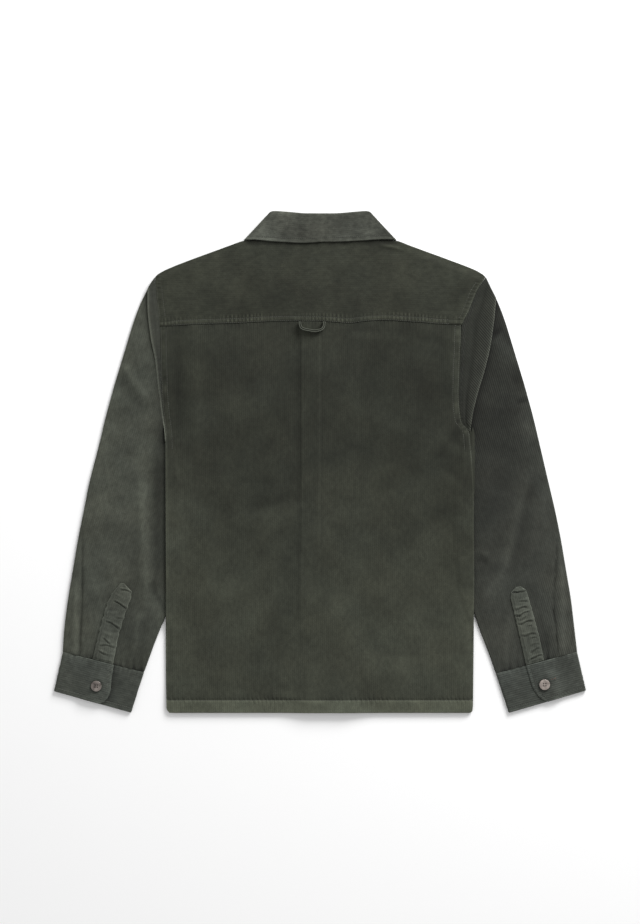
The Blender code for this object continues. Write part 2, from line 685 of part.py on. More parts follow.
def sleeve_top(x, y, height, outer, inner, table):
    """Top of a sleeve from the distances to its two folded edges. It stays low under the
    body's side."""
    if x < 0:
        beside = at_y(body_left, y) - x - TUCK_SIDE_GAP
    else:
        beside = x - at_y(body_right, y) - TUCK_SIDE_GAP
    under = ease((SLEEVE_UNDER_Y - y) / SLEEVE_UNDER_LENGTH)
    inner = inner * (1 - under) + max(min(inner, beside), 0.0) * under
    rise = ease(outer / SLEEVE_SHOULDER + 0.12) * ease(inner / (0.8 * SLEEVE_SHOULDER))
    share = ease(outer / (outer + inner + 0.1))
    base = SLEEVE_EDGE_HEIGHT * (1 - share) + SLEEVE_INNER_HEIGHT * share
    crease = folds(x, y, table) * ease(min(outer, inner) / CREASE_FADE)
    return max(base + (height - base) * rise + crease, SLEEVE_INNER_HEIGHT)


def sleeve_fold(line, width, end, height):
    """Outer and inner points of a sleeve's wall round one folded edge, from low to high."""
    inward = 1 if end == 0.0 else -1
    turn = along(line, end)
    wall = along(line, end + inward * CLOTH / width)
    near = along(line, end + inward * SLEEVE_ROUND / width)
    past = along(line, end + inward * SLEEVE_ROUND_INSIDE / width)
    middle, high = height / 2, height - CLOTH - LAYER_AIR
    outer = [(*near, SLEEVE_EDGE_LIFT), (*turn, middle), (*near, height - SLEEVE_EDGE_DROP)]
    inner = [(*past, CLOTH + LAYER_AIR), (*wall, middle), (*past, high)]
    return outer, inner


def build_sleeve(name, collection, slot, table, crease_table):
    """A flattened tube, wound from its outer fold over the top and back under itself."""
    outer_rows, inner_rows = [], []
    for i, row in enumerate(sleeve_rows(table)):
        line = section_line(row) if i else armhole_line(row)
        width = sum(math.dist(a, b) for a, b in zip(line, line[1:]))
        outer, inner = sleeve_fold(line, width, 0.0, SLEEVE_EDGE_HEIGHT)
        for u in TOP_SHARES:
            x, y = along(line, u)
            z = sleeve_top(x, y, row[8], u * width, (1 - u) * width, crease_table)
            outer.append((x, y, z))
            inner.append((x, y, z - CLOTH))
        far_outer, far_inner = sleeve_fold(line, width, 1.0, SLEEVE_INNER_HEIGHT)
        outer += far_outer[::-1]
        inner += far_inner[::-1]
        for u in UNDER_SHARES:
            outer.append((*along(line, u), 0.0))
            inner.append((*along(line, u), CLOTH))
        outer_rows.append(outer)
        inner_rows.append(inner)
    solid(name, collection, slot, outer_rows, inner_rows, closed=True)


def sleeve_height_at(x, y, table, crease_table):
    """Top of a sleeve at a plan point, found between the sections next to it."""
    best = None
    rows = sleeve_rows(table)
    lines = [section_line(row) for row in rows]
    for a, b, line_a, line_b in zip(rows, rows[1:], lines, lines[1:]):
        gap_a, gap_b = distance(x, y, line_a), distance(x, y, line_b)
        if best is None or gap_a + gap_b < best[0]:
            best = (gap_a + gap_b, a[8] + (b[8] - a[8]) * gap_a / (gap_a + gap_b))
    outer = distance(x, y, [(row[0], row[1]) for row in rows])
    inner = distance(x, y, [(row[6], row[7]) for row in rows])
    return sleeve_top(x, y, best[1], outer, inner, crease_table)


def build_sleeve_placket(name, collection, slot, edges, table, crease_table):
    """A gathered strip on a sleeve, with as many soft puckers as its stitching draws up."""
    steps = PLACKET_PUCKERS * 2
    left = [(row[0], row[1]) for row in edges]
    right = [(row[2], row[3]) for row in edges]
    low, high = [], []
    for i in range(steps + 1):
        t = i / steps
        a, b = along(left, t), along(right, t)
        low_row, high_row = [], []
        for u in PLACKET_SHARES:
            x, y = a[0] + u * (b[0] - a[0]), a[1] + u * (b[1] - a[1])
            z = sleeve_height_at(x, y, table, crease_table) + SEAM_GAP + PLACKET_AIR
            drawn = PLACKET_RISE if i % 2 and 0.0 < u < 1.0 else 0.0
            low_row.append((x, y, z))
            high_row.append((x, y, z + PLACKET_WALL + drawn))
        low.append(low_row)
        high.append(high_row)
    solid(name, collection, slot, high, low)


def cuff_frame(corners):
    """Turns shares of a cuff's width and depth into plan points."""
    top_out, low_out, low_in, top_in = corners

    def point(u, v):
        return tuple(
            (1 - u) * ((1 - v) * top_out[k] + v * low_out[k]) + u * ((1 - v) * top_in[k] + v * low_in[k])
            for k in range(2)
        )

    return point


def cuff_section(width, end):
    """The middle line of a cuff, wound from its under end round both folds to its upper end.
    Each point is a distance from the outer fold and a height."""
    low, high = CUFF_WALL / 2, 1.5 * CUFF_WALL + CUFF_FOLD_GAP
    mid, radius = (low + high) / 2, (high - low) / 2
    under = CUFF_UNDER_END * width
    over = high + CUFF_WALL + CUFF_LAP_GAP
    line = [(under, high), (0.55 * width, high), (0.75 * width, high), (width - radius - 1, high)]
    line += [(width - low - 0.35 * radius, mid + 0.75 * radius), (width - low, mid)]
    line += [(width - low - 0.35 * radius, mid - 0.75 * radius), (width - radius - 1, low)]
    line += [(0.75 * width, low), (0.5 * width, low), (0.25 * width, low), (radius + 1, low)]
    line += [(low + 0.35 * radius, mid - 0.75 * radius), (low, mid)]
    line.append((low + 0.35 * radius, mid + 0.75 * radius))
    line += [(radius + 1, high), (under - 12, high + LAYER_AIR)]
    line += [(under - 5, high + CUFF_LAP_RISE), (under + 1, over)]
    rest = end * width - under - 1
    line += [(under + 1 + rest * t, over) for t in (0.35, 0.7, 0.9)]
    line.append((end * width, over - CUFF_LAP_GAP))
    return line


def thick(line, wall):
    """The two sides of a middle line."""
    sides = ([], [])
    for i, p in enumerate(line):
        a, b = line[max(i - 1, 0)], line[min(i + 1, len(line) - 1)]
        dx, dz = b[0] - a[0], b[1] - a[1]
        length = math.hypot(dx, dz)
        nx, nz = -dz / length * wall / 2, dx / length * wall / 2
        sides[0].append((p[0] + nx, p[1] + nz))
        sides[1].append((p[0] - nx, p[1] - nz))
    return sides


def build_cuff(name, collection, slot, corners, end_table):
    point = cuff_frame(corners)
    outer_rows, inner_rows = [], []
    for v in CUFF_ROWS:
        end = end_table[-1][1]
        for (s0, e0), (s1, e1) in zip(end_table, end_table[1:]):
            if s0 <= v <= s1:
                end = e0 + (e1 - e0) * (v - s0) / (s1 - s0)
        width = math.dist(point(0.0, v), point(1.0, v))
        sides = thick(cuff_section(width, end), CUFF_WALL)
        for side, rows in zip(sides, (outer_rows, inner_rows)):
            rows.append([(*point(s / width, v), z) for s, z in side])
    solid(name, collection, slot, outer_rows, inner_rows)


def cuff_top():
    return 3 * CUFF_WALL + CUFF_FOLD_GAP + CUFF_LAP_GAP


def build_collar(collection, slot):
    """The fall and the band under it as one folded strip that goes round the neck."""
    half = []
    last = len(COLLAR) - 1
    for i in range(last):
        steps = 2 if COLLAR_SPLIT[0] < i < COLLAR_SPLIT[1] else 1
        for k in range(steps):
            t = k / steps
            before, a = COLLAR[max(i - 1, 0)], COLLAR[i]
            b, after = COLLAR[i + 1], COLLAR[min(i + 2, last)]
            if i == 0:
                before = tuple(-v if n in (0, 2, 4) else v for n, v in enumerate(COLLAR[1]))
            half.append(
                tuple(
                    q + 0.5 * t * (r - p + t * (2 * p - 5 * q + 4 * r - s + t * (3 * (q - r) + s - p)))
                    for p, q, r, s in zip(before, a, b, after)
                )
            )
    half.append(COLLAR[last])
    sections = [(-1, row) for row in reversed(half[1:])] + [(1, row) for row in half]
    outer_rows, inner_rows = [], []
    for side, row in sections:
        turn = math.radians(min(max(row[6], 0.0), 180.0))
        fold, edge, neck = (Vector((row[k], row[k + 1])) for k in (0, 2, 4))
        level = math.cos(turn)
        leaf = COLLAR_MID_Z + (COLLAR_RADIUS - COLLAR_WALL / 2) * level
        band = COLLAR_MID_Z + (COLLAR_RADIUS - 1.5 * COLLAR_WALL - COLLAR_LAYER_GAP) * level
        out = (edge - fold).normalized()
        sideways = math.sin(turn) * (COLLAR_WALL / 2)
        sideways_band = math.sin(turn) * (1.5 * COLLAR_WALL + COLLAR_LAYER_GAP)
        shift = Vector((-out.y, out.x))
        if shift.x < 0:
            shift = -shift
        top = 0.5 * (leaf + band)
        line = []
        for t in LEAF_SHARES:
            p = fold.lerp(edge, t) - shift * sideways
            line.append(((p.x, p.y), leaf))
        turn_point = fold - out * 0.9 - shift * (sideways + sideways_band) / 2
        line.append(((turn_point.x, turn_point.y), top))
        for t in BAND_SHARES:
            p = (fold + out * 1.0).lerp(neck, t) - shift * sideways_band
            line.append(((p.x, p.y), band))
        outer, inner = [], []
        for i, (p, z) in enumerate(line):
            (ax, ay), az = line[max(i - 1, 0)]
            (bx, by), bz = line[min(i + 1, len(line) - 1)]
            tangent = Vector((bx - ax, by - ay, bz - az)).normalized()
            across = Vector((shift.x * math.sin(turn), shift.y * math.sin(turn), level))
            across -= tangent * across.dot(tangent)
            if i > len(LEAF_SHARES):
                across = -across
            if i == len(LEAF_SHARES):
                across = Vector((-out.x, -out.y, 0.0))
            across.normalize()
            centre = Vector((p[0], p[1], z))
            q, r = centre + across * COLLAR_WALL / 2, centre - across * COLLAR_WALL / 2
            outer.append((COLLAR_CENTRE_X + side * q.x, q.y, q.z))
            inner.append((COLLAR_CENTRE_X + side * r.x, r.y, r.z))
        outer_rows.append(outer)
        inner_rows.append(inner)
    solid("collar", collection, slot, outer_rows, inner_rows)


def panel_top_near(x, y):
    """The highest point of the back panel within a few millimetres."""
    around = [(x + dx, min(y + dy, YOKE_SEAM_Y)) for dx in (-5, 0, 5) for dy in (-5, 0, 5)]
    return max(back_panel_z(*p) for p in around) + CLOTH


def build_loop(collection, slot):
    """A hanging loop of folded strip that stands on its edge on the back panel."""
    low_y = YOKE_SEAM_Y - HALF_SEAM - 0.15
    far_y = low_y - LOOP_DEPTH
    middle = LOOP_STRIP / 2
    line = [(LOOP_LEFT_X + middle, low_y), (LOOP_LEFT_X + middle, far_y + LOOP_CORNER + middle)]
    for side, start in ((-1, 180), (1, 270)):
        x = LOOP_LEFT_X + middle + LOOP_CORNER if side < 0 else LOOP_RIGHT_X - middle - LOOP_CORNER
        for k in range(0 if side > 0 else 1, 5 if side < 0 else 4):
            angle = math.radians(start + 22.5 * k)
            y = far_y + middle + LOOP_CORNER
            line.append((x + LOOP_CORNER * math.cos(angle), y + LOOP_CORNER * math.sin(angle)))
    line += [(LOOP_RIGHT_X - middle, far_y + LOOP_CORNER + middle), (LOOP_RIGHT_X - middle, low_y)]
    sides = thick(line, LOOP_STRIP)
    tops = []
    for side in sides:
        base = [panel_top_near(x, y) + SEAM_GAP for x, y in side]
        foot = [(x, y, z) for (x, y), z in zip(side, base)]
        tops.append([foot, [(x, y, z + LOOP_HEIGHT) for x, y, z in foot]])
    solid("locker_loop", collection, slot, tops[0], tops[1])


def build_button(name, collection, slot, cutters, place, z, flip, steps):
    """A four-hole button turned from its half section, face up or face down."""
    mesh = bpy.data.meshes.new(name)
    points = [(r * BUTTON_RADIUS * MM, 0.0, h * BUTTON_THICK * MM) for r, h in BUTTON_PROFILE]
    mesh.from_pydata(points, [(i, i + 1) for i in range(len(points) - 1)], [])
    made = bpy.data.objects.new(name, mesh)
    collection.objects.link(made)
    made.data.materials.append(slot)
    screw = made.modifiers.new("turn", "SCREW")
    screw.angle = math.tau
    screw.steps = steps
    screw.render_steps = steps
    screw.use_merge_vertices = True
    screw.merge_threshold = 0.00001
    cut = made.modifiers.new("holes", "BOOLEAN")
    cut.operation = "DIFFERENCE"
    cut.solver = "EXACT"
    cut.operand_type = "COLLECTION"
    cut.collection = cutters
    made.location = (place[0] * MM, place[1] * MM, z * MM)
    if flip:
        made.rotation_euler = (math.pi, 0.0, 0.0)
        made.location.z = (z + BUTTON_THICK) * MM
    return made


def hole_cutters(name, place, low, high, parent):
    """Four upright rods in a collection of their own."""
    group = bpy.data.collections.new(name)
    parent.children.link(group)
    for k in range(4):
        angle = math.radians(45 + 90 * k)
        x = place[0] + BUTTON_HOLE_OFFSET * math.cos(angle)
        y = place[1] + BUTTON_HOLE_OFFSET * math.sin(angle)
        ring = [math.radians(60 * n) for n in range(6)]
        rim = [(x + BUTTON_HOLE_RADIUS * math.cos(a), y + BUTTON_HOLE_RADIUS * math.sin(a)) for a in ring]
        points = [(px * MM, py * MM, z * MM) for z in (low, high) for px, py in rim]
        faces = [(n, (n + 1) % 6, (n + 1) % 6 + 6, n + 6) for n in range(6)]
        faces += [tuple(range(5, -1, -1)), tuple(range(6, 12))]
        mesh = bpy.data.meshes.new(name)
        mesh.from_pydata(points, [], faces)
        rod = bpy.data.objects.new(f"{name}_{k + 1}", mesh)
        rod.hide_render = True
        rod.display_type = "WIRE"
        group.objects.link(rod)
    return group


def centre_plan(jacket, cutters):
    """Moves every piece so that the middle of the plan is at the origin."""
    bpy.context.view_layer.update()
    corners = [made.matrix_world @ Vector(c) for made in jacket.objects for c in made.bound_box]
    shift = [-(min(c[k] for c in corners) + max(c[k] for c in corners)) / 2 for k in range(2)]
    for made in list(jacket.objects) + list(cutters.all_objects):
        made.location.x += shift[0]
        made.location.y += shift[1]


def build():
    clean_scene()
    jacket = bpy.data.collections.new("corduroy_shirt_jacket")
    cutters = bpy.data.collections.new("cutters")
    cutters.hide_render = True
    for group in (jacket, cutters):
        bpy.context.scene.collection.children.link(group)

    def slot(name, rough=0.95, colour="corduroy"):
        return material(f"{colour}_{name}", rough)

    build_yoke(jacket, slot("yoke"))
    build_back(jacket, slot("back_panel"))
    build_front("front_left", jacket, slot("front_left"), -1)
    build_front("front_right", jacket, slot("front_right"), 1)
    build_sleeve("sleeve_left", jacket, slot("sleeve_left"), SLEEVE_LEFT, FOLDS_LEFT)
    build_sleeve("sleeve_right", jacket, slot("sleeve_right"), SLEEVE_RIGHT, FOLDS_RIGHT)
    for side, edges, table, creases in (
        ("left", PLACKET_LEFT, SLEEVE_LEFT, FOLDS_LEFT),
        ("right", PLACKET_RIGHT, SLEEVE_RIGHT, FOLDS_RIGHT),
    ):
        name = f"sleeve_placket_{side}"
        build_sleeve_placket(name, jacket, slot(name), edges, table, creases)
    build_cuff("cuff_left", jacket, slot("cuff_left"), CUFF_LEFT, CUFF_END_LEFT)
    build_cuff("cuff_right", jacket, slot("cuff_right"), CUFF_RIGHT, CUFF_END_RIGHT)
    build_collar(jacket, slot("collar", 0.93))
    build_loop(jacket, slot("locker_loop"))
    high = cuff_top() + SEAM_GAP
    buttons = [("cuff_button_left", CUFF_BUTTON_LEFT, high, False, 24)]
    buttons.append(("cuff_button_right", CUFF_BUTTON_RIGHT, high, False, 24))
    for i, y in enumerate(FRONT_BUTTON_Y):
        buttons.append((f"front_button_{i + 1}", (CENTRE_FRONT_X, y), 0.0, True, 12))
    for name, place, z, flip, steps in buttons:
        group = hole_cutters(f"holes_{name}", place, z - 1, z + BUTTON_THICK + 1, cutters)
        build_button(name, jacket, slot(name, 0.45, "horn"), group, place, z, flip, steps)
    centre_plan(jacket, cutters)


build()
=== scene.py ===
"""Looks of the corduroy shirt-jacket, laid flat on its front with its back up.

Plan sizes are in millimetres, with +X to the right and +Y from the hem to the collar.
A side is -1 on the left and 1 on the right.
"""

import math
from functools import partial

import bpy
import numpy as np
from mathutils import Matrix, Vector


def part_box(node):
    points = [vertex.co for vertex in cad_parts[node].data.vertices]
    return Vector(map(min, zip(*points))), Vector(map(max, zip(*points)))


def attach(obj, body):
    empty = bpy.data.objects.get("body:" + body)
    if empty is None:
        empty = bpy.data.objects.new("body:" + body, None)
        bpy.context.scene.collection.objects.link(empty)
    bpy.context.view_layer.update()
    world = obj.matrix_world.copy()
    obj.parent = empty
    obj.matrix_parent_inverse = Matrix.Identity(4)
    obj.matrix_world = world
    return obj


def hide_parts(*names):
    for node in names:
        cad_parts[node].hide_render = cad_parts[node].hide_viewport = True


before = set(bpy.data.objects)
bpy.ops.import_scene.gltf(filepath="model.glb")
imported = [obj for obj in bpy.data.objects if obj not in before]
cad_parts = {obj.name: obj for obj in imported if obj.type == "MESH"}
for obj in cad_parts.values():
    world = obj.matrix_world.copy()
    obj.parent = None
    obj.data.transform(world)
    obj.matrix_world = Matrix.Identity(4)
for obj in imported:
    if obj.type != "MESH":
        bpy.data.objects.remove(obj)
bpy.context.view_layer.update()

MM = 0.001
PLAN_SHIFT = (0.4, 0.65, 0)
CLOTH = 1.6
SEAM_GAP = 0.3
LAYER = CLOTH + SEAM_GAP + 0.1
WALE = 3.05
RELIEF = 0.3
EDGE_ROUND = 1.1
LEAST_EDGE = 0.04
LAP_GAP = 0.35
FOLD_GAP = 0.6

CENTRE_BACK_X = -13.9
PLEAT_HALF = 14.25
PLEAT_LEFT = CENTRE_BACK_X - PLEAT_HALF
PLEAT_RIGHT = CENTRE_BACK_X + PLEAT_HALF
CENTRE_FRONT_X = 13
YOKE_SEAM_Y = 211
HEM_Y = -375.4
HEM_STITCH_Y = -356.5
YOKE_ROWS = (1.2, 7.3)
ARMHOLE_ROWS = (1.5, 9.4)
AIR = 2.8
ROLL_WIDTH = 13
OVERLAP_HALF = 19
NECK_TOP_Y = 320
COVER_WIDTH = 78
NECK_RAISE = 2.4
TUCK_LIFT = 4.2
COLLAR_CENTRE_X = 1.9
BUTTON_THICK = 2.4
SLEEVE_EDGE = 4.4
SLEEVE_INNER = 3.8
SLEEVE_TILT = 16.4
CREASE_TILT = 42
COLLAR_WALL = 2
COLLAR_RADIUS = 4.5
CUFF_WALL = 2
CUFF_UNDER_END = 0.38
CUFF_FOLD_Z = 1.5 * CUFF_WALL + FOLD_GAP
CUFF_LAYER_Z = CUFF_FOLD_Z + CUFF_WALL / 2
CUFF_TOP_Z = CUFF_LAYER_Z + CUFF_WALL + LAP_GAP
CUFF_STITCH = 6.5
NAMES = {-1: "left", 1: "right"}

# Lines of the laid jacket in plan. Columns: x, y
BODY_LEFT = [
    (-247.1, 277.1), (-244.1, 242.6), (-240.2, 211), (-239, 167.6), (-236.6, 92.6), (-231.2, 45),
    (-230.3, 19.1), (-229.9, -57.4), (-230.6, -207.4), (-230.6, -282.4), (-230.4, -357.4),
    (-229.6, -369.4), (-225.6, -375.4),
]
BODY_RIGHT = [
    (248.8, 277.9), (235.9, 257.6), (223, 226.1), (212.9, 206), (211.9, 191.6), (208.6, 106.1),
    (210.1, 77.6), (213.2, 60), (218.6, 53), (223.6, 46), (225.6, 30), (226.8, 10), (228.4, -4.9),
    (230.6, -57.4), (231.4, -207.4), (229.9, -357.4), (229.7, -368.4), (228.3, -373.6), (224.6, -375.4),
]
SHOULDER_LEFT = [
    (-95, 332.6), (-113, 332.4), (-131.6, 326.4), (-152.6, 318.8), (-193.6, 303.8), (-229.6, 289.4),
    (-243.6, 281.4), (-247.1, 277.1),
]
SHOULDER_RIGHT = [
    (96.5, 332.6), (115.6, 332.2), (131.6, 326.4), (152.6, 318.8), (193.6, 303.8), (231, 289.4),
    (243.6, 282.4), (248.8, 277.9),
]
FRONT_NECK_LEFT = [(-95, 332.6), (-84, 306), (-58, 280), (-22, 267), (32, 263)]
FRONT_NECK_RIGHT = [(96.5, 332.6), (88, 306), (68, 282), (38, 269), (-6, 264)]
OUTER_LEFT = [
    (-247.4, 277.1), (-254.6, 266.6), (-262.1, 251.6), (-266.6, 242.6), (-275.6, 220.1),
    (-283.1, 197.6), (-296.6, 152.6), (-310.1, 107.6), (-322.1, 62.6), (-332.6, 17.6), (-344.6, -27.4),
    (-353.6, -72.4), (-362.6, -117.4), (-370.1, -162.4), (-377.6, -207.4), (-383.2, -252.4),
    (-385.1, -283.75),
]
OUTER_RIGHT = [
    (249.1, 277.6), (253.9, 266.6), (261.4, 251.6), (265.9, 242.6), (274.9, 220.1), (282.4, 197.6),
    (295.9, 152.6), (309.4, 107.6), (321.4, 62.6), (331.9, 17.6), (342.4, -27.4), (352.9, -72.4),
    (361.9, -117.4), (369.4, -162.4), (376.9, -207.4), (382, -252.4), (385.9, -283.75),
]
INNER_LEFT = [
    (-231.6, 42), (-231.3, 30), (-229, 14), (-222, -16), (-217.5, -42), (-214.5, -87.4), (-216.1, -140),
    (-221.6, -196), (-231, -231.5), (-241.1, -253), (-257.2, -297.4), (-263.2, -314.45),
]
INNER_RIGHT = [
    (214.8, 46), (223.6, 22), (221, -3), (214.8, -34), (212.4, -60), (212.4, -100), (214.9, -147.4),
    (223, -198), (238.5, -248), (254, -288), (263.8, -316.25),
]
FOLD_LEFT = [
    (-257.9, 260), (-258.2, 240), (-257.4, 220.1), (-253.1, 185.6), (-247, 154.1), (-243.2, 116.6),
    (-238, 77.6), (-233.2, 50), (-231.4, 30),
]
FOLD_RIGHT = [
    (264.2, 246.5), (263.4, 236), (260.4, 206.6), (254.5, 169.1), (245.9, 134.6), (236.5, 103.1),
    (229.4, 74), (225.2, 46),
]

# Soft folds. Columns: x and y at both ends, half width, height
BACK_FOLDS = [
    (-105, -70, -28, -48, 9, -1.2), (-118, -92, -30, -74, 14, 1), (-190, 60, -70, 95, 22, 0.8),
    (60, 70, 180, 30, 24, 0.9), (110, -120, 205, -60, 20, -0.9), (30, -210, 150, -190, 26, 0.7),
    (-200, -170, -90, -215, 24, 0.8), (-170, -300, -60, -285, 20, -0.7), (70, -300, 170, -320, 20, 0.7),
    (-130, 180, -60, 150, 20, 0.6), (90, 185, 60, 130, 18, -0.6), (-30, -262, -16, -268, 7, -0.9),
    (-84, -352, 8, -372, 5, -0.7), (-60, -350, 24, -366, 5, 0.6), (186, 30, 222, 6, 7, 0.8),
    (190, -10, 224, -28, 7, -0.8), (196, -60, 226, -74, 8, 0.7), (196, -104, 228, -120, 8, -0.7),
    (-226, -20, -196, -4, 8, 0.7), (-226, -110, -190, -90, 9, -0.7), (-134, -31, -40, -27, 4, -0.6),
    (-214, 180, -212, 50, 8, -0.9), (-188, 196, -182, 30, 10, 0.9), (196, 60, 150, 0, 9, 0.8),
    (206, 44, 176, 6, 6, -0.8), (120, 200, 210, 170, 7, -0.6), (196, 186, 200, 120, 8, 0.7),
    (52, 188, 122, 185, 5, 0.8), (40, 198, 84, 200, 5, -0.7),
]
YOKE_FOLDS = [
    (-150, 262, -90, 240, 16, 0.6), (80, 252, 160, 268, 18, 0.7), (-40, 290, 40, 292, 16, -0.5),
    (-228, 262, -200, 230, 9, 0.6), (214, 262, 190, 232, 9, -0.6), (92, 326, 118, 321, 3.2, 1.4),
    (86, 320, 120, 312, 4, -0.6),
]
FOLDS_LEFT = [
    (-297, 146, -262, 98, 8, 2), (-306, 128, -268, 78, 9, -1), (-268, -30, -262, -190, 9, 2),
    (-246, -20, -249, -200, 8, -0.8), (-253, -184, -236, -214, 5, -1.2),
    (-340, -40, -300, -90, 12, 1.2), (-318, 30, -280, 10, 12, -1), (-352, -150, -330, -200, 10, 1.2),
    (-366, -180, -368, -284, 5, 1.9), (-356, -108, -356.5, -190, 1.8, -1.4),
    (-356.5, -190, -360, -284, 1.8, -1.9), (-272, -230, -280, -290, 6, 1),
    (-290, -190, -262, -176, 8, -0.7),
]
FOLDS_RIGHT = [
    (262, 180, 302, 150, 10, 1), (294, 90, 312, 94, 3.5, -1.5), (296, 64, 322, 40, 13, 1.1),
    (290, 120, 306, 130, 9, -0.8), (258, 178, 272, 189, 3.5, 1), (261, 190, 273, 201, 4.5, -1.1),
    (304, -46, 273, -168, 8, 1.2), (316, -46, 286, -168, 9, -1), (273, -168, 246, -205, 7, 1.5),
    (330, -20, 300, -60, 12, -0.9), (354.8, -130, 349, -213, 2, -1.9),
    (349, -213, 356.6, -287, 1.8, -1.9), (363, -120, 361, -284, 6, 1.9),
    (379.4, -251, 375.8, -282, 1.6, -1.2), (232, -132, 252, -138, 4, 1.2),
    (236, -146, 250, -150, 3.5, -1.2), (284, -232, 276, -292, 6, 1),
]
SLEEVE_FOLDS = {-1: FOLDS_LEFT, 1: FOLDS_RIGHT}

# Columns: x and y of the left edge, x and y of the right edge
PLACKET_LEFT = [
    (-340.3, -294.6, -309.6, -302.3), (-333.6, -266, -302, -262), (-327, -240, -292.6, -230),
    (-319, -212, -283, -204), (-311.6, -197, -281.5, -193.5), (-299, -181.5, -293.4, -180.6),
]
PLACKET_RIGHT = [
    (309, -303.6, 335.9, -296.4), (300.6, -266, 329, -262), (293, -233, 320, -228),
    (286, -204, 311.6, -198), (286.6, -194.6, 308.6, -190.4), (294, -186.6, 301, -185.6),
]
PLACKETS = {-1: PLACKET_LEFT, 1: PLACKET_RIGHT}

# A cuff's corners, and how far its upper end reaches at shares of its depth
CUFF_LEFT = [(-385.1, -283.9), (-398.6, -342.8), (-282.4, -375.1), (-263.3, -314.6)]
CUFF_RIGHT = [(385.9, -283.9), (399.4, -341.8), (283.1, -375.4), (263.9, -316.4)]
CUFFS = {-1: CUFF_LEFT, 1: CUFF_RIGHT}
CUFF_END_LEFT = [(0, 0.63), (0.3, 0.645), (0.6, 0.675), (0.8, 0.67), (0.93, 0.635), (1, 0.59)]
CUFF_END_RIGHT = [(0, 0.63), (0.3, 0.63), (0.55, 0.628), (0.8, 0.59), (0.93, 0.545), (1, 0.49)]
CUFF_ENDS = {-1: CUFF_END_LEFT, 1: CUFF_END_RIGHT}
CUFF_BUTTONS = {-1: (-334.6, -334.9), 1: (336.7, -332.8)}
FRONT_BUTTONS = 6

# Columns: x, y of the fold, of the outer edge and of the neck seam, turn in degrees
COLLAR = [
    (0, 371.4, 0, 329.2, 0, 334.4, 0), (26, 371.6, 29, 328.6, 25, 334.4, 0),
    (50, 373.6, 60, 329.8, 50, 334.6, 0), (66, 375, 88, 331.6, 72, 335.2, 0),
    (73, 374.6, 107, 331.6, 84, 336.4, 12), (75.6, 373, 111.8, 331.6, 90, 338.2, 50),
    (76.6, 371, 113.2, 331, 92.4, 338.8, 90), (75.6, 369, 110.8, 331, 91, 336.6, 130),
    (73, 366, 106.8, 330, 88, 333, 166), (64, 346, 100, 292, 80, 310, 180),
    (48, 318, 82, 246, 62, 286, 180), (26, 302, 66, 232, 36, 272.5, 180),
    (6, 297, 12, 262, 8, 269, 180),
]

# The yoke's lower edge. Columns: x, y
YOKE_SEAM = [
    (-245, 203), (-207, 205.2), (-185, 206.6), (-147, 207.6), (-117, 208.6), (-90, 210.2), (-45, 211.3),
    (0, 210.8), (20, 209.8), (46, 208.2), (62, 210.4), (85, 212.3), (110, 212.3), (126, 211),
    (155, 209.4), (178, 207.2), (220, 206),
]

LOOP_WIDTH = 3.6
LOOP_HEIGHT = 6
LOOP_PATH = [
    (-29.6, 210.6), (-29.2, 205.6), (-27.4, 201.6), (-23.2, 199.4), (-16.6, 198), (-7.4, 196.9),
    (0, 198), (4.3, 200.4), (6.3, 204.4), (6.7, 210.6),
]


def ease(t):
    t = np.clip(t, 0, 1)
    return t * t * (3 - 2 * t)


def bell(off, width):
    return np.exp(-((off / width) ** 2))


def fade(off, width):
    return np.exp(-off / width)


def unit(v):
    return v / (np.linalg.norm(v) + 1e-9)


def smoothed(points, parts=5):
    """The line through these points as a smooth curve of short steps."""
    p = np.array(points, float)
    made = []
    for i in range(len(p) - 1):
        a, b = p[i], p[i + 1]
        size = np.linalg.norm(b - a) / 3
        lead = a + unit(b - p[max(i - 1, 0)]) * size
        trail = b - unit(p[min(i + 2, len(p) - 1)] - a) * size
        for t in np.arange(parts) / parts:
            u = 1 - t
            made.append(u**3 * a + 3 * u * u * t * lead + 3 * u * t * t * trail + t**3 * b)
    return np.array([*made, p[-1]])


def lengths(line):
    """How far along a line each of its points is."""
    return np.concatenate([[0], np.cumsum(np.linalg.norm(np.diff(line, axis=0), axis=1))])


def resampled(line, count):
    """Points at even steps along a line of any number of dimensions."""
    line = np.asarray(line, float)
    run = lengths(line)
    at = np.linspace(0, run[-1], count)
    return np.stack([np.interp(at, run, column) for column in line.T], axis=1)


def normals(line):
    """Unit normals of a flat line."""
    slope = np.gradient(line, axis=0)
    return np.stack([-slope[:, 1], slope[:, 0]], axis=1) / np.linalg.norm(slope, axis=1)[:, None]


def distance(x, y, line):
    """How far points are from a line of points."""
    best = np.full(np.shape(x), 1e9)
    for (ax, ay), (bx, by) in zip(line, line[1:]):
        dx, dy = bx - ax, by - ay
        t = np.clip(((x - ax) * dx + (y - ay) * dy) / (dx * dx + dy * dy + 1e-12), 0, 1)
        best = np.minimum(best, np.hypot(x - ax - t * dx, y - ay - t * dy))
    return best


def at_y(line, y):
    return np.interp(-np.asarray(y), -line[:, 1], line[:, 0])


def folds(x, y, table):
    total = np.zeros(np.shape(x))
    for ax, ay, bx, by, width, height in table:
        dx, dy = bx - ax, by - ay
        t = ((x - ax) * dx + (y - ay) * dy) / (dx * dx + dy * dy)
        off = ((x - ax) * dy - (y - ay) * dx) / math.hypot(dx, dy)
        total += height * ease((t + 0.25) / 0.4) * ease((1.25 - t) / 0.4) * bell(off, width)
    return total


def areas(x, y, table):
    return sum(value * bell(x - cx, wx) * bell(y - cy, wy) for cx, cy, wx, wy, value in table)


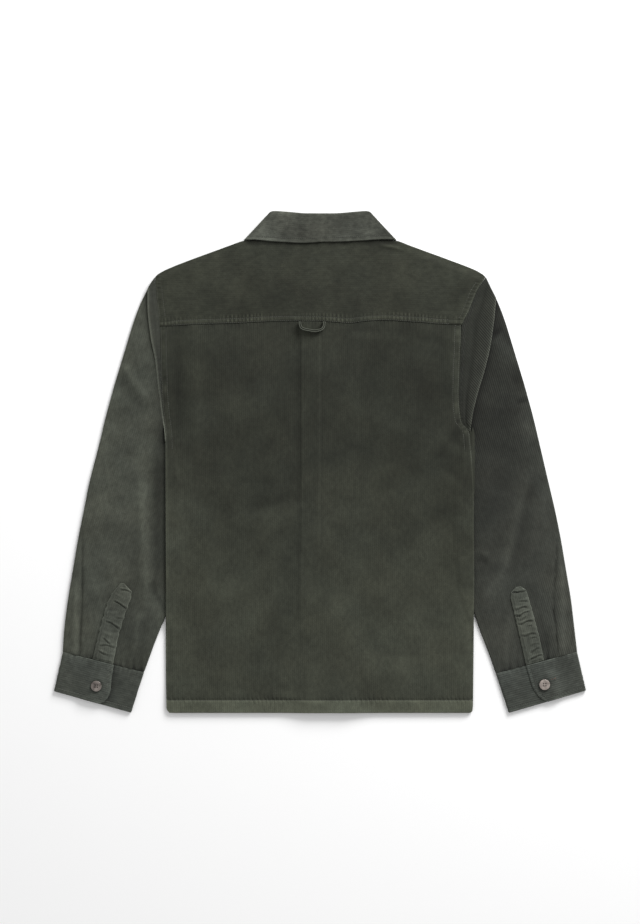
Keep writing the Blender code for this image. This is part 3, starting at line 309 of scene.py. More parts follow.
def ripple(s, seed, pitch):
    """Uneven rise and fall along a seam, about one rise a pitch."""
    base = np.sin(s * math.tau / pitch + 1.3 * np.sin(s / (2.3 * pitch) + seed) + seed)
    slow = 0.6 + 0.4 * np.sin(s / (3.7 * pitch) + 2.1 * seed)
    return base * slow + 0.35 * np.sin(s * math.tau / (0.61 * pitch) + 3.3 * seed)


def both_sides(left, right, parts=5):
    return {-1: smoothed(left, parts), 1: smoothed(right, parts)}


body = both_sides(BODY_LEFT, BODY_RIGHT)
shoulder = both_sides(SHOULDER_LEFT, SHOULDER_RIGHT)
front_neck = both_sides(FRONT_NECK_LEFT, FRONT_NECK_RIGHT)
inner_edge = both_sides(INNER_LEFT, INNER_RIGHT)
outer_edge = both_sides(OUTER_LEFT, OUTER_RIGHT, 4)
fold_edge = both_sides(FOLD_LEFT, FOLD_RIGHT, 4)
seam_line = smoothed(YOKE_SEAM)


def from_body(x, y, side):
    """How far outward from the body's edge a plan point is."""
    return (x - at_y(body[side], y)) * side


def above_seam(x, y):
    """Height of a plan point over the yoke's lower edge."""
    return y - np.interp(x, seam_line[:, 0], seam_line[:, 1])


def button_raise(x):
    return (BUTTON_THICK + SEAM_GAP + 0.2) * ease((40 - np.abs(x - CENTRE_FRONT_X)) / 30)


def neck_raise(x, y):
    across = ease((156 - np.abs(x - COLLAR_CENTRE_X)) / 40)
    return NECK_RAISE * across * ease((y - 178) / 40)


def tuck_lift(x, y):
    """How much a sleeve that is tucked under the body lifts it."""
    reach = ease((66 - y) / 36) * ease((y + 264) / 34)
    gap = np.where(x < 0, x - at_y(inner_edge[-1], y), at_y(inner_edge[1], y) - x) - 1.5
    return TUCK_LIFT * reach * ease((30 - gap) / 28)


def front_left_z(x, y):
    return np.maximum(np.maximum(neck_raise(x, y), button_raise(x)), tuck_lift(x, y))


def front_right_z(x, y):
    return front_left_z(x, y) + LAYER * ease((CENTRE_FRONT_X + OVERLAP_HALF + 30 - x) / 28)


def fronts_top(x, y):
    bridge = ease((COVER_WIDTH - np.abs(x - CENTRE_FRONT_X)) / (COVER_WIDTH - OVERLAP_HALF - 4))
    bridge *= ease((NECK_TOP_Y - y) / 34)
    peak = button_raise(CENTRE_FRONT_X) + LAYER
    low = front_left_z(x, y)
    return CLOTH + np.maximum(low, low * (1 - bridge) + np.maximum(peak, low) * bridge)


def back_z(x, y):
    """Height of the body's inner face, and how far it has risen from its rolled edge."""
    side = np.minimum(distance(x, y, body[-1]), distance(x, y, body[1]))
    top = np.minimum(distance(x, y, shoulder[-1]), distance(x, y, shoulder[1]))
    at_side = np.where(y > 45, 0.45, 0.05)
    rolled = at_side + (1 - at_side) * ease(side / ROLL_WIDTH)
    rolled = np.minimum(rolled, 0.1 + 0.9 * ease(top / ROLL_WIDTH))
    rolled = np.minimum(rolled, 0.35 + 0.65 * ease((y - HEM_Y) / 30))
    low = fronts_top(x, y)
    air = np.maximum(AIR - 0.85 * (low - CLOTH), 0.3)
    near = ease((y - 296) / 26) * ease((132 - np.abs(x - COLLAR_CENTRE_X)) / 24)
    air = air * (1 - near) + 0.45 * near
    return low + SEAM_GAP + air * rolled, rolled


def changed(x, y, z, change):
    """Adds to a height, but leaves it above the fronts."""
    return z + np.maximum(change, -np.maximum(z - fronts_top(x, y) - SEAM_GAP, 0))


def armhole_puckers(x, y, seeds):
    """Small puckers that the stitching draws up beside the armholes."""
    total = 0
    for side, seed in zip(NAMES, seeds):
        off = np.abs(from_body(x, y, side))
        channel = bell(off - 5.5, 3) * ease((y - 5) / 40)
        groove = sum(bell(off - row, 0.9) for row in ARMHOLE_ROWS) * ease((y - 15) / 10)
        pucker = (0.3 + 0.35 * ripple(y, seed, 5.6)) * channel - 0.25 * groove
        total += pucker * (x * side > 0)
    return total


def back_base(x, y):
    z, rolled = back_z(x, y)
    step = ease((x - PLEAT_LEFT + 2) / 4) * ease((PLEAT_RIGHT + 3 - x) / 6)
    z += 1.1 * step * ease((y + 200) / 220)
    dip = 0.5 * ease((above_seam(x, y) + 9) / 9)
    return changed(x, y, z, (folds(x, y, BACK_FOLDS) - dip) * rolled)


def back_top(x, y):
    over_hem = y - HEM_STITCH_Y
    z = back_base(x, y) + CLOTH + 0.8 * ease((1 - over_hem) / 2) - 0.5 * bell(over_hem, 1.5)
    z += 0.28 * ripple(x, 0.7, 5.2) * fade(np.maximum(-above_seam(x, y), 0), 9)
    z += 0.3 * ripple(x + 0.4 * y, 2.2, 6.5) * bell(over_hem - 1, 6)
    z += 0.16 * ripple(x - 0.6 * y, 4.4, 9) * ease(-over_hem / 6)
    return z + armhole_puckers(x, y, (1.1, 5.2))


def yoke_base(x, y):
    z, rolled = back_z(x, y)
    z = changed(x, y, z, folds(x, y, YOKE_FOLDS) * rolled)
    return z + 0.5 * ease((9 - above_seam(x, y)) / 9) * rolled


def yoke_top(x, y):
    up = above_seam(x, y)
    beads = ripple(x, 0.4, 5.5)
    z = yoke_base(x, y) + CLOTH + (0.35 + 0.4 * beads) * bell(up - 4.3, 2.2)
    z += 0.25 * beads * bell(up - 10.4, 2.6) - 0.3 * sum(bell(up - row, 0.9) for row in YOKE_ROWS)
    return z + armhole_puckers(x, y, (3, 4))


def cuff_distance(x, y, side):
    return distance(x, y, CUFFS[side][::3])


def sleeve_top(x, y, side):
    outer = distance(x, y, outer_edge[side])
    inner = distance(x, y, inner_edge[side])
    under = ease((62 - y) / 24)
    beside = np.minimum(inner, from_body(x, y, side) - 1.5)
    inner = inner * (1 - under) + np.maximum(beside, 0) * under
    near = np.minimum(outer, inner)
    rise = ease(outer / 26 + 0.12) * ease(inner / 21)
    share = ease(outer / (outer + inner + 0.1))
    base = SLEEVE_EDGE * (1 - share) + SLEEVE_INNER * share
    height = 5.7 - 0.8 * ease((-240 - y) / 50)
    crease = folds(x, y, SLEEVE_FOLDS[side]) * ease(near / 12)
    z = np.maximum(base + (height - base) * rise + crease, SLEEVE_INNER)
    gather = cuff_distance(x, y, side)
    z += 0.5 * ripple(x, 1.7 + side, 10.5) * fade(gather, 12) * ease(near / 6)
    return z - 0.35 * fade(gather, 3)


# Point looks for the cloth shader; tone scales the colour and carries painted light and shade along with
# the cloth's own lighter and darker parts.
LOOKS = {"ridge": 0.5, "across": 0, "along": 0, "tone": 1}


def build_object(name, parts, materials, nodes=()):
    """One object from parts, each a set of points, faces, looks and the number of its paint."""
    mesh = bpy.data.meshes.new(name)
    faces, paints, start = [], [], 0
    for part in parts:
        faces += [tuple(i + start for i in face) for face in part["faces"]]
        paints += [part.get("paint", 0)] * len(part["faces"])
        start += len(part["points"])
    placed = (np.concatenate([part["points"] for part in parts]) - PLAN_SHIFT) * MM
    mesh.from_pydata(placed.tolist(), [], faces)
    for key, plain in LOOKS.items():
        values = [np.broadcast_to(part.get(key, plain), len(part["points"])) for part in parts]
        data = mesh.attributes.new(key, "FLOAT", "POINT").data
        data.foreach_set("value", np.concatenate(values).astype(np.float32))
    for material in materials:
        mesh.materials.append(material)
    mesh.polygons.foreach_set("material_index", paints)
    mesh.polygons.foreach_set("use_smooth", [True] * len(mesh.polygons))
    made = bpy.data.objects.new(name, mesh)
    bpy.context.scene.collection.objects.link(made)
    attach(made, "root")
    if nodes:
        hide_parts(*nodes)
    return made


def grid_faces(rows, columns, start=0, flip=False):
    i, j = np.meshgrid(np.arange(rows - 1), np.arange(columns - 1), indexing="ij")
    a = (start + i * columns + j).ravel()
    quads = np.stack([a, a + 1, a + columns + 1, a + columns], axis=1)
    return (quads[:, ::-1] if flip else quads).tolist()


def span(outline, s):
    """Lowest and highest t where lines of constant s cross a closed outline."""
    low, high = np.full(len(s), np.inf), np.full(len(s), -np.inf)
    for (a, p), (b, q) in zip(outline, np.roll(outline, -1, axis=0)):
        if abs(b - a) < 1e-9:
            continue
        t = (s - a) / (b - a)
        hit = (t >= 0) & (t <= 1)
        cut = p + t * (q - p)
        low = np.where(hit, np.minimum(low, cut), low)
        high = np.where(hit, np.maximum(high, cut), high)
    return low, high


def wales(s, t):
    """Height share of a wale: 1 on its ridge and 0 in the valley. Wales wander a little."""
    wander = 0.5 * np.sin(t / 57 + s / 83) + 0.3 * np.sin(t / 23 - s / 31) + 0.3 * np.sin(s / 19)
    return 0.5 + 0.5 * np.cos((s + wander) * math.tau / WALE)


def pile_relief(ridge, s, t, relief=RELIEF):
    hair = 0.05 * np.sin(t * 2.9 + 7 * np.sin(s * 3.1))
    return relief * (ridge**0.7 - 1) + hair * ridge


def edge_share(off, radius, least=0):
    """Height share of a rounded edge."""
    return np.sqrt(np.clip(1 - np.clip(1 - off / radius, 0, 1) ** 2, least, 1))


def wale_grid(outline, per, step, level, extra):
    """Points of a closed outline in rows, closer together beside it. Level rows lie at the
    same distance along all the wales, others share each wale evenly."""
    s0, s1 = outline[:, 0].min(), outline[:, 0].max()
    s = np.linspace(s0 + 0.02, s1 - 0.02, int((s1 - s0) / (WALE / per)) + 1)
    t0, t1 = span(outline, s)
    squeeze = np.minimum(1, (t1 - t0) / 14)
    near = [off * squeeze for off in (0, 0.3, 0.9, 2, 4.5)]
    a, b = t0 + near[-1], t1 - near[-1]
    reach = b.max() - a.min() if level else (t1 - t0).max()
    stops = np.linspace(0, 1, max(int(reach / step), 4) + 1)[1:-1]
    stops = np.sort(np.concatenate([stops, (np.array(extra) - a.min()) / reach]))[:, None]
    if level:
        spare = 0.4 * squeeze
        middle = np.clip(a.min() + reach * stops, a + spare * stops, b - spare * (1 - stops))
    else:
        middle = a + (b - a) * stops
    t = np.vstack([[t0 + off for off in near], middle, [t1 - off for off in near[::-1]]])
    return np.broadcast_to(s, t.shape), t


def shell(x, y, fine, plain, looks):
    """A fine grid of points that is closed by a coarse one at other heights."""
    rows, columns = fine.shape
    pick_i = sorted({*range(0, rows, 6), rows - 1})
    pick_j = sorted({*range(0, columns, 10), columns - 1})
    picked = np.ix_(pick_i, pick_j)
    count, size = rows * columns, (len(pick_i), len(pick_j))
    fine_ids = np.arange(count).reshape(rows, columns)
    coarse_ids = count + np.arange(size[0] * size[1]).reshape(size)
    faces = grid_faces(rows, columns) + grid_faces(*size, count, flip=True)
    top, bottom, left, right = np.s_[0, :], np.s_[-1, :], np.s_[:, 0], np.s_[:, -1]
    sides = ((top, pick_j, -1), (bottom, pick_j, 1), (left, pick_i, 1), (right, pick_i, -1))
    for place, picks, turn in sides:
        near, far = fine_ids[place].tolist(), coarse_ids[place].tolist()
        for k, (p, q) in enumerate(zip(picks, picks[1:])):
            mid = (p + q) // 2
            tris = [(near[n], near[n + 1], far[k + (n >= mid)]) for n in range(p, q)]
            tris.append((near[mid], far[k + 1], far[k]))
            faces += [tri[::turn] for tri in tris]

    def both(upper, lower):
        return np.concatenate([upper.ravel(), lower[picked].ravel()])

    points = np.stack([both(x, x), both(y, y), both(fine, plain)], axis=1)
    return {"points": points, "faces": faces, **{key: both(v, v) for key, v in looks.items()}}


def ribbed(
    outline, tilt, top, base=None, tone=None, per=4, step=7, under=False, rounding=EDGE_ROUND,
    relief=RELIEF, edge_wear_and_sheen=0.3, paint=0, warp=None, show=None, level=False, extra=(),
):
    """A shell of corduroy over a plan outline, with its wales tilted from the Y axis. The wales
    are on top, or on the underside, and the other side is plain. The rounding of its edge is a
    number or a function of the plan. A warp moves plan points, and show is how much the wales
    show. Extra rows are added to level ones."""
    turn = math.radians(tilt)
    along = np.array([math.sin(turn), math.cos(turn)])
    across = np.array([math.cos(turn), -math.sin(turn)])
    outline = np.asarray(outline, float)
    s, t = wale_grid(np.stack([outline @ across, outline @ along], axis=1), per, step, level, extra)
    x, y = (s * across[k] + t * along[k] for k in (0, 1))
    edge = distance(x, y, np.vstack([outline, outline[:1]]))
    if warp:
        x, y = warp(x, y)
    ridge = wales(s, t)
    if show:
        ridge = 0.5 + (ridge - 0.5) * show(x, y)
    rounding = rounding(x, y) if callable(rounding) else rounding
    drop = rounding * (1 - edge_share(edge, rounding))
    pile = pile_relief(np.clip(ridge, 0, 1), s, t, relief) * ease(edge / 1.2)
    upper = top(x, y)
    lower = base(x, y) if base else upper - CLOTH
    if under:
        fine, plain = lower - pile + drop, np.maximum(upper, lower + drop + 0.05)
    else:
        fine, plain = upper + pile - drop, np.minimum(lower, upper - drop - 0.05)
    # Edges are lightened, partly as wear and partly as a painted sheen highlight.
    shade = (tone(x, y) if tone else 1) * (1 + edge_wear_and_sheen * fade(edge, 1.2))
    part = shell(x, y, fine, plain, dict(zip(LOOKS, (ridge, s, t, shade))))
    if under:
        part["faces"] = [face[::-1] for face in part["faces"]]
    return {**part, "paint": paint}


def wall(outer, inner, **looks):
    """A closed wall between two equal grids of points. Its looks are given on the outer one."""
    rows, columns = outer.shape[:2]
    other = rows * columns
    ids = np.arange(other).reshape(rows, columns)
    rim = np.concatenate([ids[0], ids[1:, -1], ids[-1, -2::-1], ids[-2:0:-1, 0]]).tolist()
    faces = grid_faces(rows, columns) + grid_faces(rows, columns, other, flip=True)
    faces += [(b, a, other + a, other + b) for a, b in zip(rim, rim[1:] + rim[:1])]
    points = np.concatenate([outer.reshape(-1, 3), inner.reshape(-1, 3)])
    a, b, c, d = (points[corner] for corner in np.array(faces).T)
    if np.sum(a * np.cross(b, c)) + np.sum(a * np.cross(c, d)) < 0:
        faces = [face[::-1] for face in faces]
    flat = {key: np.tile(np.broadcast_to(v, (rows, columns)).ravel(), 2) for key, v in looks.items()}
    return {"points": points, "faces": faces, **flat}


def looks_of(rows):
    """Named grids from rows of ridge, across, along and tone."""
    return dict(zip(LOOKS, np.array(rows).transpose(1, 0, 2)))


# Materials


class Paint:
    """A material, with helpers that add nodes and set or link their inputs."""

    def __init__(self, name):
        self.material = bpy.data.materials.new(name)
        self.material.use_nodes = True
        self.tree = self.material.node_tree
        self.shader = self.tree.nodes["Principled BSDF"]

    def fill(self, node, inputs):
        for key, value in inputs.items():
            if isinstance(value, bpy.types.NodeSocket):
                self.tree.links.new(value, node.inputs[key])
            else:
                node.inputs[key].default_value = value

    def add(self, kind, output, inputs=None, **settings):
        node = self.tree.nodes.new("ShaderNode" + kind)
        for key, value in settings.items():
            setattr(node, key, value)
        self.fill(node, inputs or {})
        return node.outputs[output]

    def noise(self, vector, scale, detail, distortion=0):
        values = {"Vector": vector, "Scale": scale, "Detail": detail, "Distortion": distortion}
        return self.add("TexNoise", "Fac", values)

    def ramp(self, value, colours):
        """Colours the shader by a value, from the first colour to the second."""
        node = self.tree.nodes.new("ShaderNodeValToRGB")
        for element, position, colour in zip(node.color_ramp.elements, (0.3, 0.7), colours):
            element.position = position
            element.color = (*colour, 1)
        self.fill(node, {"Fac": value})
        self.fill(self.shader, {"Base Color": node.outputs["Color"]})


def cloth_material(name, colour, contrast, clouds):
    """Corduroy: paler ridges and darker valleys painted in as light and shade of the wales, flecked pile
    along the wales and soft clouds.
    """
    paint = Paint(name)

    def look(key):
        return paint.add("Attribute", "Fac", attribute_name=key)

    def product(a, b):
        return paint.add("Math", 0, {0: a, 1: b}, operation="MULTIPLY")

    def spread(value, from_low, from_high, low, high):
        limits = {"From Min": from_low, "From Max": from_high, "To Min": low, "To Max": high}
        return paint.add("MapRange", "Result", {"Value": value, **limits})

    def cloth_noise(across, along, detail):
        plane = {"X": product(look("across"), across), "Y": product(look("along"), along)}
        return paint.noise(paint.add("CombineXYZ", 0, plane), 1, detail)

    place = paint.add("TexCoord", "Object")
    fleck = cloth_noise(1.5, 0.45, 3)
    # Paler ridges and darker valleys: painted highlight and shade of the wales.
    level = spread(look("ridge"), 0, 1, 1 - contrast, 1 + 0.6 * contrast)
    # Tone carries painted light and shade of folds, puckers, seams and edges, along with the cloth's own
    # lighter and darker parts.
    level = product(level, look("tone"))
    level = product(level, spread(fleck, 0.3, 0.7, 0.8, 1.2))
    level = product(level, spread(cloth_noise(0.5, 2.2, 2), 0.3, 0.7, 0.88, 1.12))
    for cloud in (cloth_noise(0.2, 0.1, 3), paint.noise(place, 9, 3), paint.noise(place, 34, 3)):
        level = product(level, spread(cloud, 0.3, 0.7, 1 - clouds, 1 + clouds))
    whole = paint.add("CombineColor", "Color", {"Red": level, "Green": level, "Blue": level})
    red, green, blue = colour
    warmth = spread(paint.noise(place, 14, 2), 0.35, 0.65, 0, 1)
    cool, warm = (red * 0.99, green, blue * 1.01, 1), (red * 1.015, green, blue * 0.985, 1)
    hue = paint.add("Mix", "Result", {"Factor": warmth, "A": cool, "B": warm}, data_type="RGBA")
    mixed = paint.add(
        "Mix", "Result", {"Factor": 1, "A": hue, "B": whole}, data_type="RGBA", blend_type="MULTIPLY"
    )
    bump = paint.add("Bump", "Normal", {"Strength": 0.4, "Distance": 0.0004, "Height": fleck})
    paint.fill(paint.shader, {
        "Base Color": mixed, "Roughness": 0.93, "Specular IOR Level": 0.2, "Sheen Weight": 0.3,
        "Sheen Roughness": 0.45, "Sheen Tint": (0.6, 0.62, 0.54, 1), "Normal": bump,
    })
    return paint.material


def plain_paint(name, colour, rough, sheen=0):
    paint = Paint(name)
    paint.fill(paint.shader, {"Base Color": (*colour, 1), "Roughness": rough, "Sheen Weight": sheen})
    return paint


def thread_material(name, colour):
    """Spun thread: a fine twist of light and dark."""
    paint = plain_paint(name, colour, 0.6, 0.2)
    twist = paint.noise(paint.add("TexCoord", "Object"), 900, 2)
    paint.ramp(twist, [[share * c for c in colour] for share in (0.6, 1.35)])
    return paint.material


def horn_material(name, level):
    """Mottled grey-brown horn with a soft polish."""
    paint = plain_paint(name, (0.2, 0.17, 0.15), 0.38)
    cloud = paint.noise(paint.add("TexCoord", "Object"), 110, 3, 0.8)
    paint.ramp(cloud, [[level * c for c in colour] for colour in HORN_COLOURS])
    paint.fill(paint.shader, {"Coat Weight": 0.2})
    return paint.material


# Columns: colour, how much the wales' painted light and shade show, how much the clouds show
CLOTHS = {
    "yoke": ((0.0244, 0.0263, 0.0187), 0.06, 0.19),
    "body": ((0.0268, 0.0290, 0.0210), 0.10, 0.15),
    "sleeve_left": ((0.0520, 0.0562, 0.0443), 0.14, 0.17),
    "sleeve_right": ((0.0330, 0.0351, 0.0289), 0.36, 0.15),
    "fold_left": ((0.0310, 0.0331, 0.0265), 0.12, 0.12),
    "fold_right": ((0.0240, 0.0258, 0.0205), 0.52, 0.12),
    "cuff_left": ((0.0568, 0.0628, 0.0530), 0.14, 0.20),
    "cuff_right": ((0.0445, 0.0493, 0.0424), 0.28, 0.20),
    "collar": ((0.0424, 0.0448, 0.0364), 0.07, 0.26),
    "placket": ((0.0540, 0.0585, 0.0472), 0.10, 0.20),
    "loop": ((0.0440, 0.0473, 0.0374), 0.20, 0.10),
}
HORN_COLOURS = ((0.075, 0.06, 0.052), (0.27, 0.235, 0.21))
cloths = {key: cloth_material("corduroy_" + key, *value) for key, value in CLOTHS.items()}
thread = thread_material("thread", (0.056, 0.059, 0.047))
button_thread = thread_material("button_thread", (0.05, 0.045, 0.038))
brown_thread = thread_material("brown_thread", (0.16, 0.085, 0.06))
horns = {-1: horn_material("horn_left", 0.8), 1: horn_material("horn_right", 1.35)}

# Soft lighter and darker areas, partly the nap's own patches and partly painted light and shade.
# Columns: centre x and y, both half widths, strength
BODY_AREAS = [
    (0, 60, 900, 85, -0.25), (165, 25, 45, 62, -0.22), (-215, -100, 55, 70, 0.46),
    (-226, -280, 26, 52, 0.6), (226, -250, 30, 50, 0.38), (-90, 60, 45, 50, -0.06),
    (20, -378, 90, 14, 0.22),
]
YOKE_AREAS = [
    (-110, 240, 55, 26, -0.28), (115, 238, 60, 24, -0.2), (-218, 262, 40, 60, 0.2),
    (20, 288, 40, 20, 0.08),
]
SLEEVE_AREAS_LEFT = [
    (-266, -30, 30, 50, -0.24), (-278, -278, 30, 55, -0.46), (-266, -185, 22, 35, -0.22),
    (-314, 90, 14, 40, 0.3), (-328, 40, 14, 40, 0.22), (-374, -200, 14, 50, 0.14),
]
SLEEVE_AREAS_RIGHT = [
    (262, -55, 46, 80, -0.34), (372, -278, 22, 34, 0.58), (360, -160, 26, 60, 0.3),
    (318, 90, 16, 60, 0.36), (338, 10, 14, 60, 0.14), (280, -186, 16, 22, 0.16),
]
SLEEVE_AREAS = {-1: SLEEVE_AREAS_LEFT, 1: SLEEVE_AREAS_RIGHT}
COLLAR_AREAS = [(-84, 0, 24, 900, 0.36), (0, 0, 44, 900, -0.06), (84, 0, 18, 900, 0.24)]
CUFF_AREAS = [(344, -314, 11, 7, 0.6), (-319, -348, 8, 10, -0.16)]

# Body


def body_tone(x, y):
    over_hem = y - HEM_STITCH_Y
    shade = 1 + 1.4 * ease((0.5 - over_hem) / 1.6) + 0.4 * ease((-40 - y) / 240)
    # A painted light line on the hem's step at its stitching, with painted shade just above it.
    shade += 0.35 * bell(over_hem, 1) - 0.15 * bell(over_hem - 3, 1.8)
    shade -= (0.12 + 0.06 * ease(x / 100)) * ease((y - 70) / 60)
    # Painted shadow below the yoke seam.
    below = np.maximum(-above_seam(x, y), 0)
    shade -= (0.35 + 0.3 * ripple(x, 5.1, 60)) * fade(below, 2.2)
    # Painted highlight and shade along the pleat's edges, and painted light and shade over the folds.
    left, right = x - PLEAT_LEFT, x - PLEAT_RIGHT
    pleat = 0.16 * bell(left - 2.4, 1.8) - 0.12 * bell(left + 3, 4) + 0.12 * bell(left - 8, 8)
    pleat += 0.06 * bell(right + 1, 2) - 0.08 * bell(right - 2.8, 2.2)
    shade += pleat * ease((y + 312) / 120) + 0.2 * folds(x, y, BACK_FOLDS)
    # Painted light and shade over the puckers below the yoke seam and along the hem.
    shade += 0.1 * ripple(x, 0.7, 5.2) * fade(below, 7)
    shade += 0.12 * ripple(x + 0.4 * y, 2.2, 6.5) * bell(over_hem, 7)
    # Lighter body edges, partly wear and partly a painted sheen highlight, strongest low on the left.
    left_rim = 0.15 + 0.7 * ease((80 - y) / 30) * ease((y + 100) / 120)
    left_light, right_light = 0.42 * ease((30 - y) / 40), 0.12 * ease((-60 - y) / 60)
    for side, seed, rim, light in ((-1, 1.1, left_rim, left_light), (1, 5.2, 0.5, right_light)):
        off = np.abs(from_body(x, y, side))
        # Painted light and shade over the puckers beside the armholes.
        armhole = bell(off - 5.5, 3.2) * ease((y - 10) / 40)
        shade += (0.22 + 0.4 * ripple(y, seed, 5.6)) * armhole
        shade += rim * fade(off, 1.6) * ease((y + 40) / 30) + light * fade(off, 5)
    return shade + areas(x, y, BODY_AREAS)


def yoke_tone(x, y):
    up = above_seam(x, y)
    # Painted highlight on the beads of the seam's topstitching and painted shade in its stitch grooves.
    band = bell(up - 4.3, 2.4)
    bead = ripple(x, 0.4, 5.5) + 0.4 * ripple(x, 2.9, 7.1)
    bead = 0.95 * np.maximum(bead, 0) + 0.4 * np.minimum(bead, 0)
    shade = 1 + 0.2 * band + bead * (band + 0.8 * bell(up - 10.4, 2.4))
    shade -= 0.18 * sum(bell(up - row, 0.8) for row in YOKE_ROWS)
    # Painted shadow under the collar.
    shade -= 0.4 * ease((y - 322) / 7) * ease((118 - np.abs(x - COLLAR_CENTRE_X)) / 12)
    # Lighter edges, partly wear and partly a painted sheen highlight.
    for side, strength in ((-1, 0.05), (1, 0.7)):
        shade += strength * fade(np.abs(from_body(x, y, side)), 2.2)
    # The folds are also painted in as light and shade.
    return shade + 0.2 * folds(x, y, YOKE_FOLDS) + areas(x, y, YOKE_AREAS)


def area_of(outline):
    """Plan area in square metres."""
    x, y = np.asarray(outline, float).T
    return abs(float(np.sum(x * np.roll(y, -1) - y * np.roll(x, -1)))) / 2 * MM * MM


def seam_warp(x, y):
    """Moves the yoke's straight lower edge onto its seam, and its right end along the armhole."""
    moved = y - above_seam(x, YOKE_SEAM_Y) * ease((275 - y) / 64)
    slide = at_y(body[1], moved) - at_y(body[1], y)
    return x + slide * ease((x - 150) / 60), moved


def back_outline():
    left, right = (
        line[above_seam(*line.T) < -0.7] - (side * 0.15, 0) for side, line in body.items()
    )
    top = seam_line[(seam_line[:, 0] > left[0][0]) & (seam_line[:, 0] < right[0][0])]
    ends = [(line[0][0], line[0][1] - above_seam(*line[0]) - SEAM_GAP / 2) for line in (left, right)]
    return np.vstack([ends[:1], left, right[::-1], ends[1:], top[::-1] - (0, SEAM_GAP / 2)])


def yoke_outline():
    low = YOKE_SEAM_Y + SEAM_GAP / 2
    left, right = (line[line[:, 1] > low + 0.5] - (side * 0.15, 0) for side, line in body.items())
    ends = [(at_y(line, low), low) for line in body.values()]
    neck = [(x, 332.5) for x in (-95, -50, 0, 50, 96.5)]
    shoulders = (shoulder[-1][::-1][1:] - (0, 0.15), shoulder[1][:-1] - (0, 0.15))
    return np.vstack([ends[:1], left[::-1], shoulders[0], neck, shoulders[1], right, ends[1:]])


def front_outline(side):
    edge, top, neck = body[side][::-1], shoulder[side][::-1][1:], front_neck[side]
    centre = [(neck[-1][0], HEM_Y + 0.6)]
    return np.vstack([edge - (side * 0.6, -0.3), top - (0, 0.3), neck[1:] - (0, 0.3), centre])


def back_rounding(x, y):
    """The back's edge is pressed flat where it meets the end of the right fold."""
    return EDGE_ROUND - 0.8 * bell(np.hypot(x - 219, y - 53), 9)


hem_rows = [HEM_STITCH_Y + off for off in (-3, -1.6, -0.8, 0, 0.8, 1.6, 2.6, 4)]
back_part = ribbed(
    back_outline(), 0, back_top, back_base, body_tone, relief=0.2, rounding=back_rounding,
    level=True, step=5, extra=hem_rows,
)
back = build_object("back", [back_part], [cloths["body"]], ["back_panel"])
yoke_part = ribbed(
    yoke_outline(), 90, yoke_top, yoke_base, yoke_tone, step=1.5, relief=0.1, warp=seam_warp
)
yoke = build_object("yoke_cloth", [yoke_part], [cloths["yoke"]], ["yoke"])
for side, lift in ((-1, front_left_z), (1, front_right_z)):
    name = "front_" + NAMES[side]
    part = ribbed(
        front_outline(side), 0, lambda x, y: lift(x, y) + CLOTH, lift,
        per=3, step=11, under=True, rounding=0.7,
    )
    made = build_object(name + "_cloth", [part], [cloths["body"]], [name])
    area_of(front_outline(side))

# Sleeves


def sleeve_outline(side):
    low_end = 44 if side < 0 else 62
    seam = body[side][(body[side][:, 1] < 262) & (body[side][:, 1] > low_end)] + (side * 1.2, 0)
    outer = outer_edge[side]
    return np.vstack([outer[outer[:, 1] < 264], inner_edge[side][::-1], seam[::-1]])


def fold_outline(side):
    line, fold, outer = body[side], fold_edge[side], outer_edge[side]
    seam = line[(line[:, 1] < 276.5) & (line[:, 1] > fold[-1][1] + 2)] + (side * 0.05, 0)
    return np.vstack([seam[::-1], outer[outer[:, 1] > fold[0][1] + 0.5], fold])


def fold_share(x, y, side):
    """Where a plan point lies across the fold, from 0 at the body's edge to 1, and its width."""
    width = np.maximum((at_y(fold_edge[side], y) - at_y(body[side], y)) * side, 1)
    return np.clip(from_body(x, y, side) / width, 0, 1), width


def fold_top(x, y, side):
    """The cloth beside the armhole, which is folded over the sleeve."""
    share, width = fold_share(x, y, side)
    hump = (3.2 if side < 0 else 3.8) * ease(share * 1.25 + 0.02) * ease(width / 14)
    if side > 0:
        groove = 0.4 * bell(share - 0.22, 0.08) - bell(share - 0.42, 0.09)
        hump += groove * ease(width / 22)
    z = np.maximum(sleeve_top(x, y, side) * 0.25 + 3.75, 4.9) + hump * ease((278 - y) / 16)
    z += (TUCK_LIFT - 1.2) * ease((62 - y) / 44)
    return z + 0.2 * ripple(y, 2 + side, 7) * fade(np.maximum(from_body(x, y, side), 0), 6)


def placket_shadow(x, y, side):
    """Painted soft shadow beside the raised placket, deepest on its right."""
    table = np.array(PLACKETS[side])
    strength, shift, width = (0.26, 0, 4.5) if side < 0 else (0.3, 9, 8)
    dark = strength * fade(distance(x, y, table[:, 2:] + (shift, 0)), width)
    return dark + (0.22 if side < 0 else 0.25) * fade(distance(x, y, table[:, :2]), 3.5)


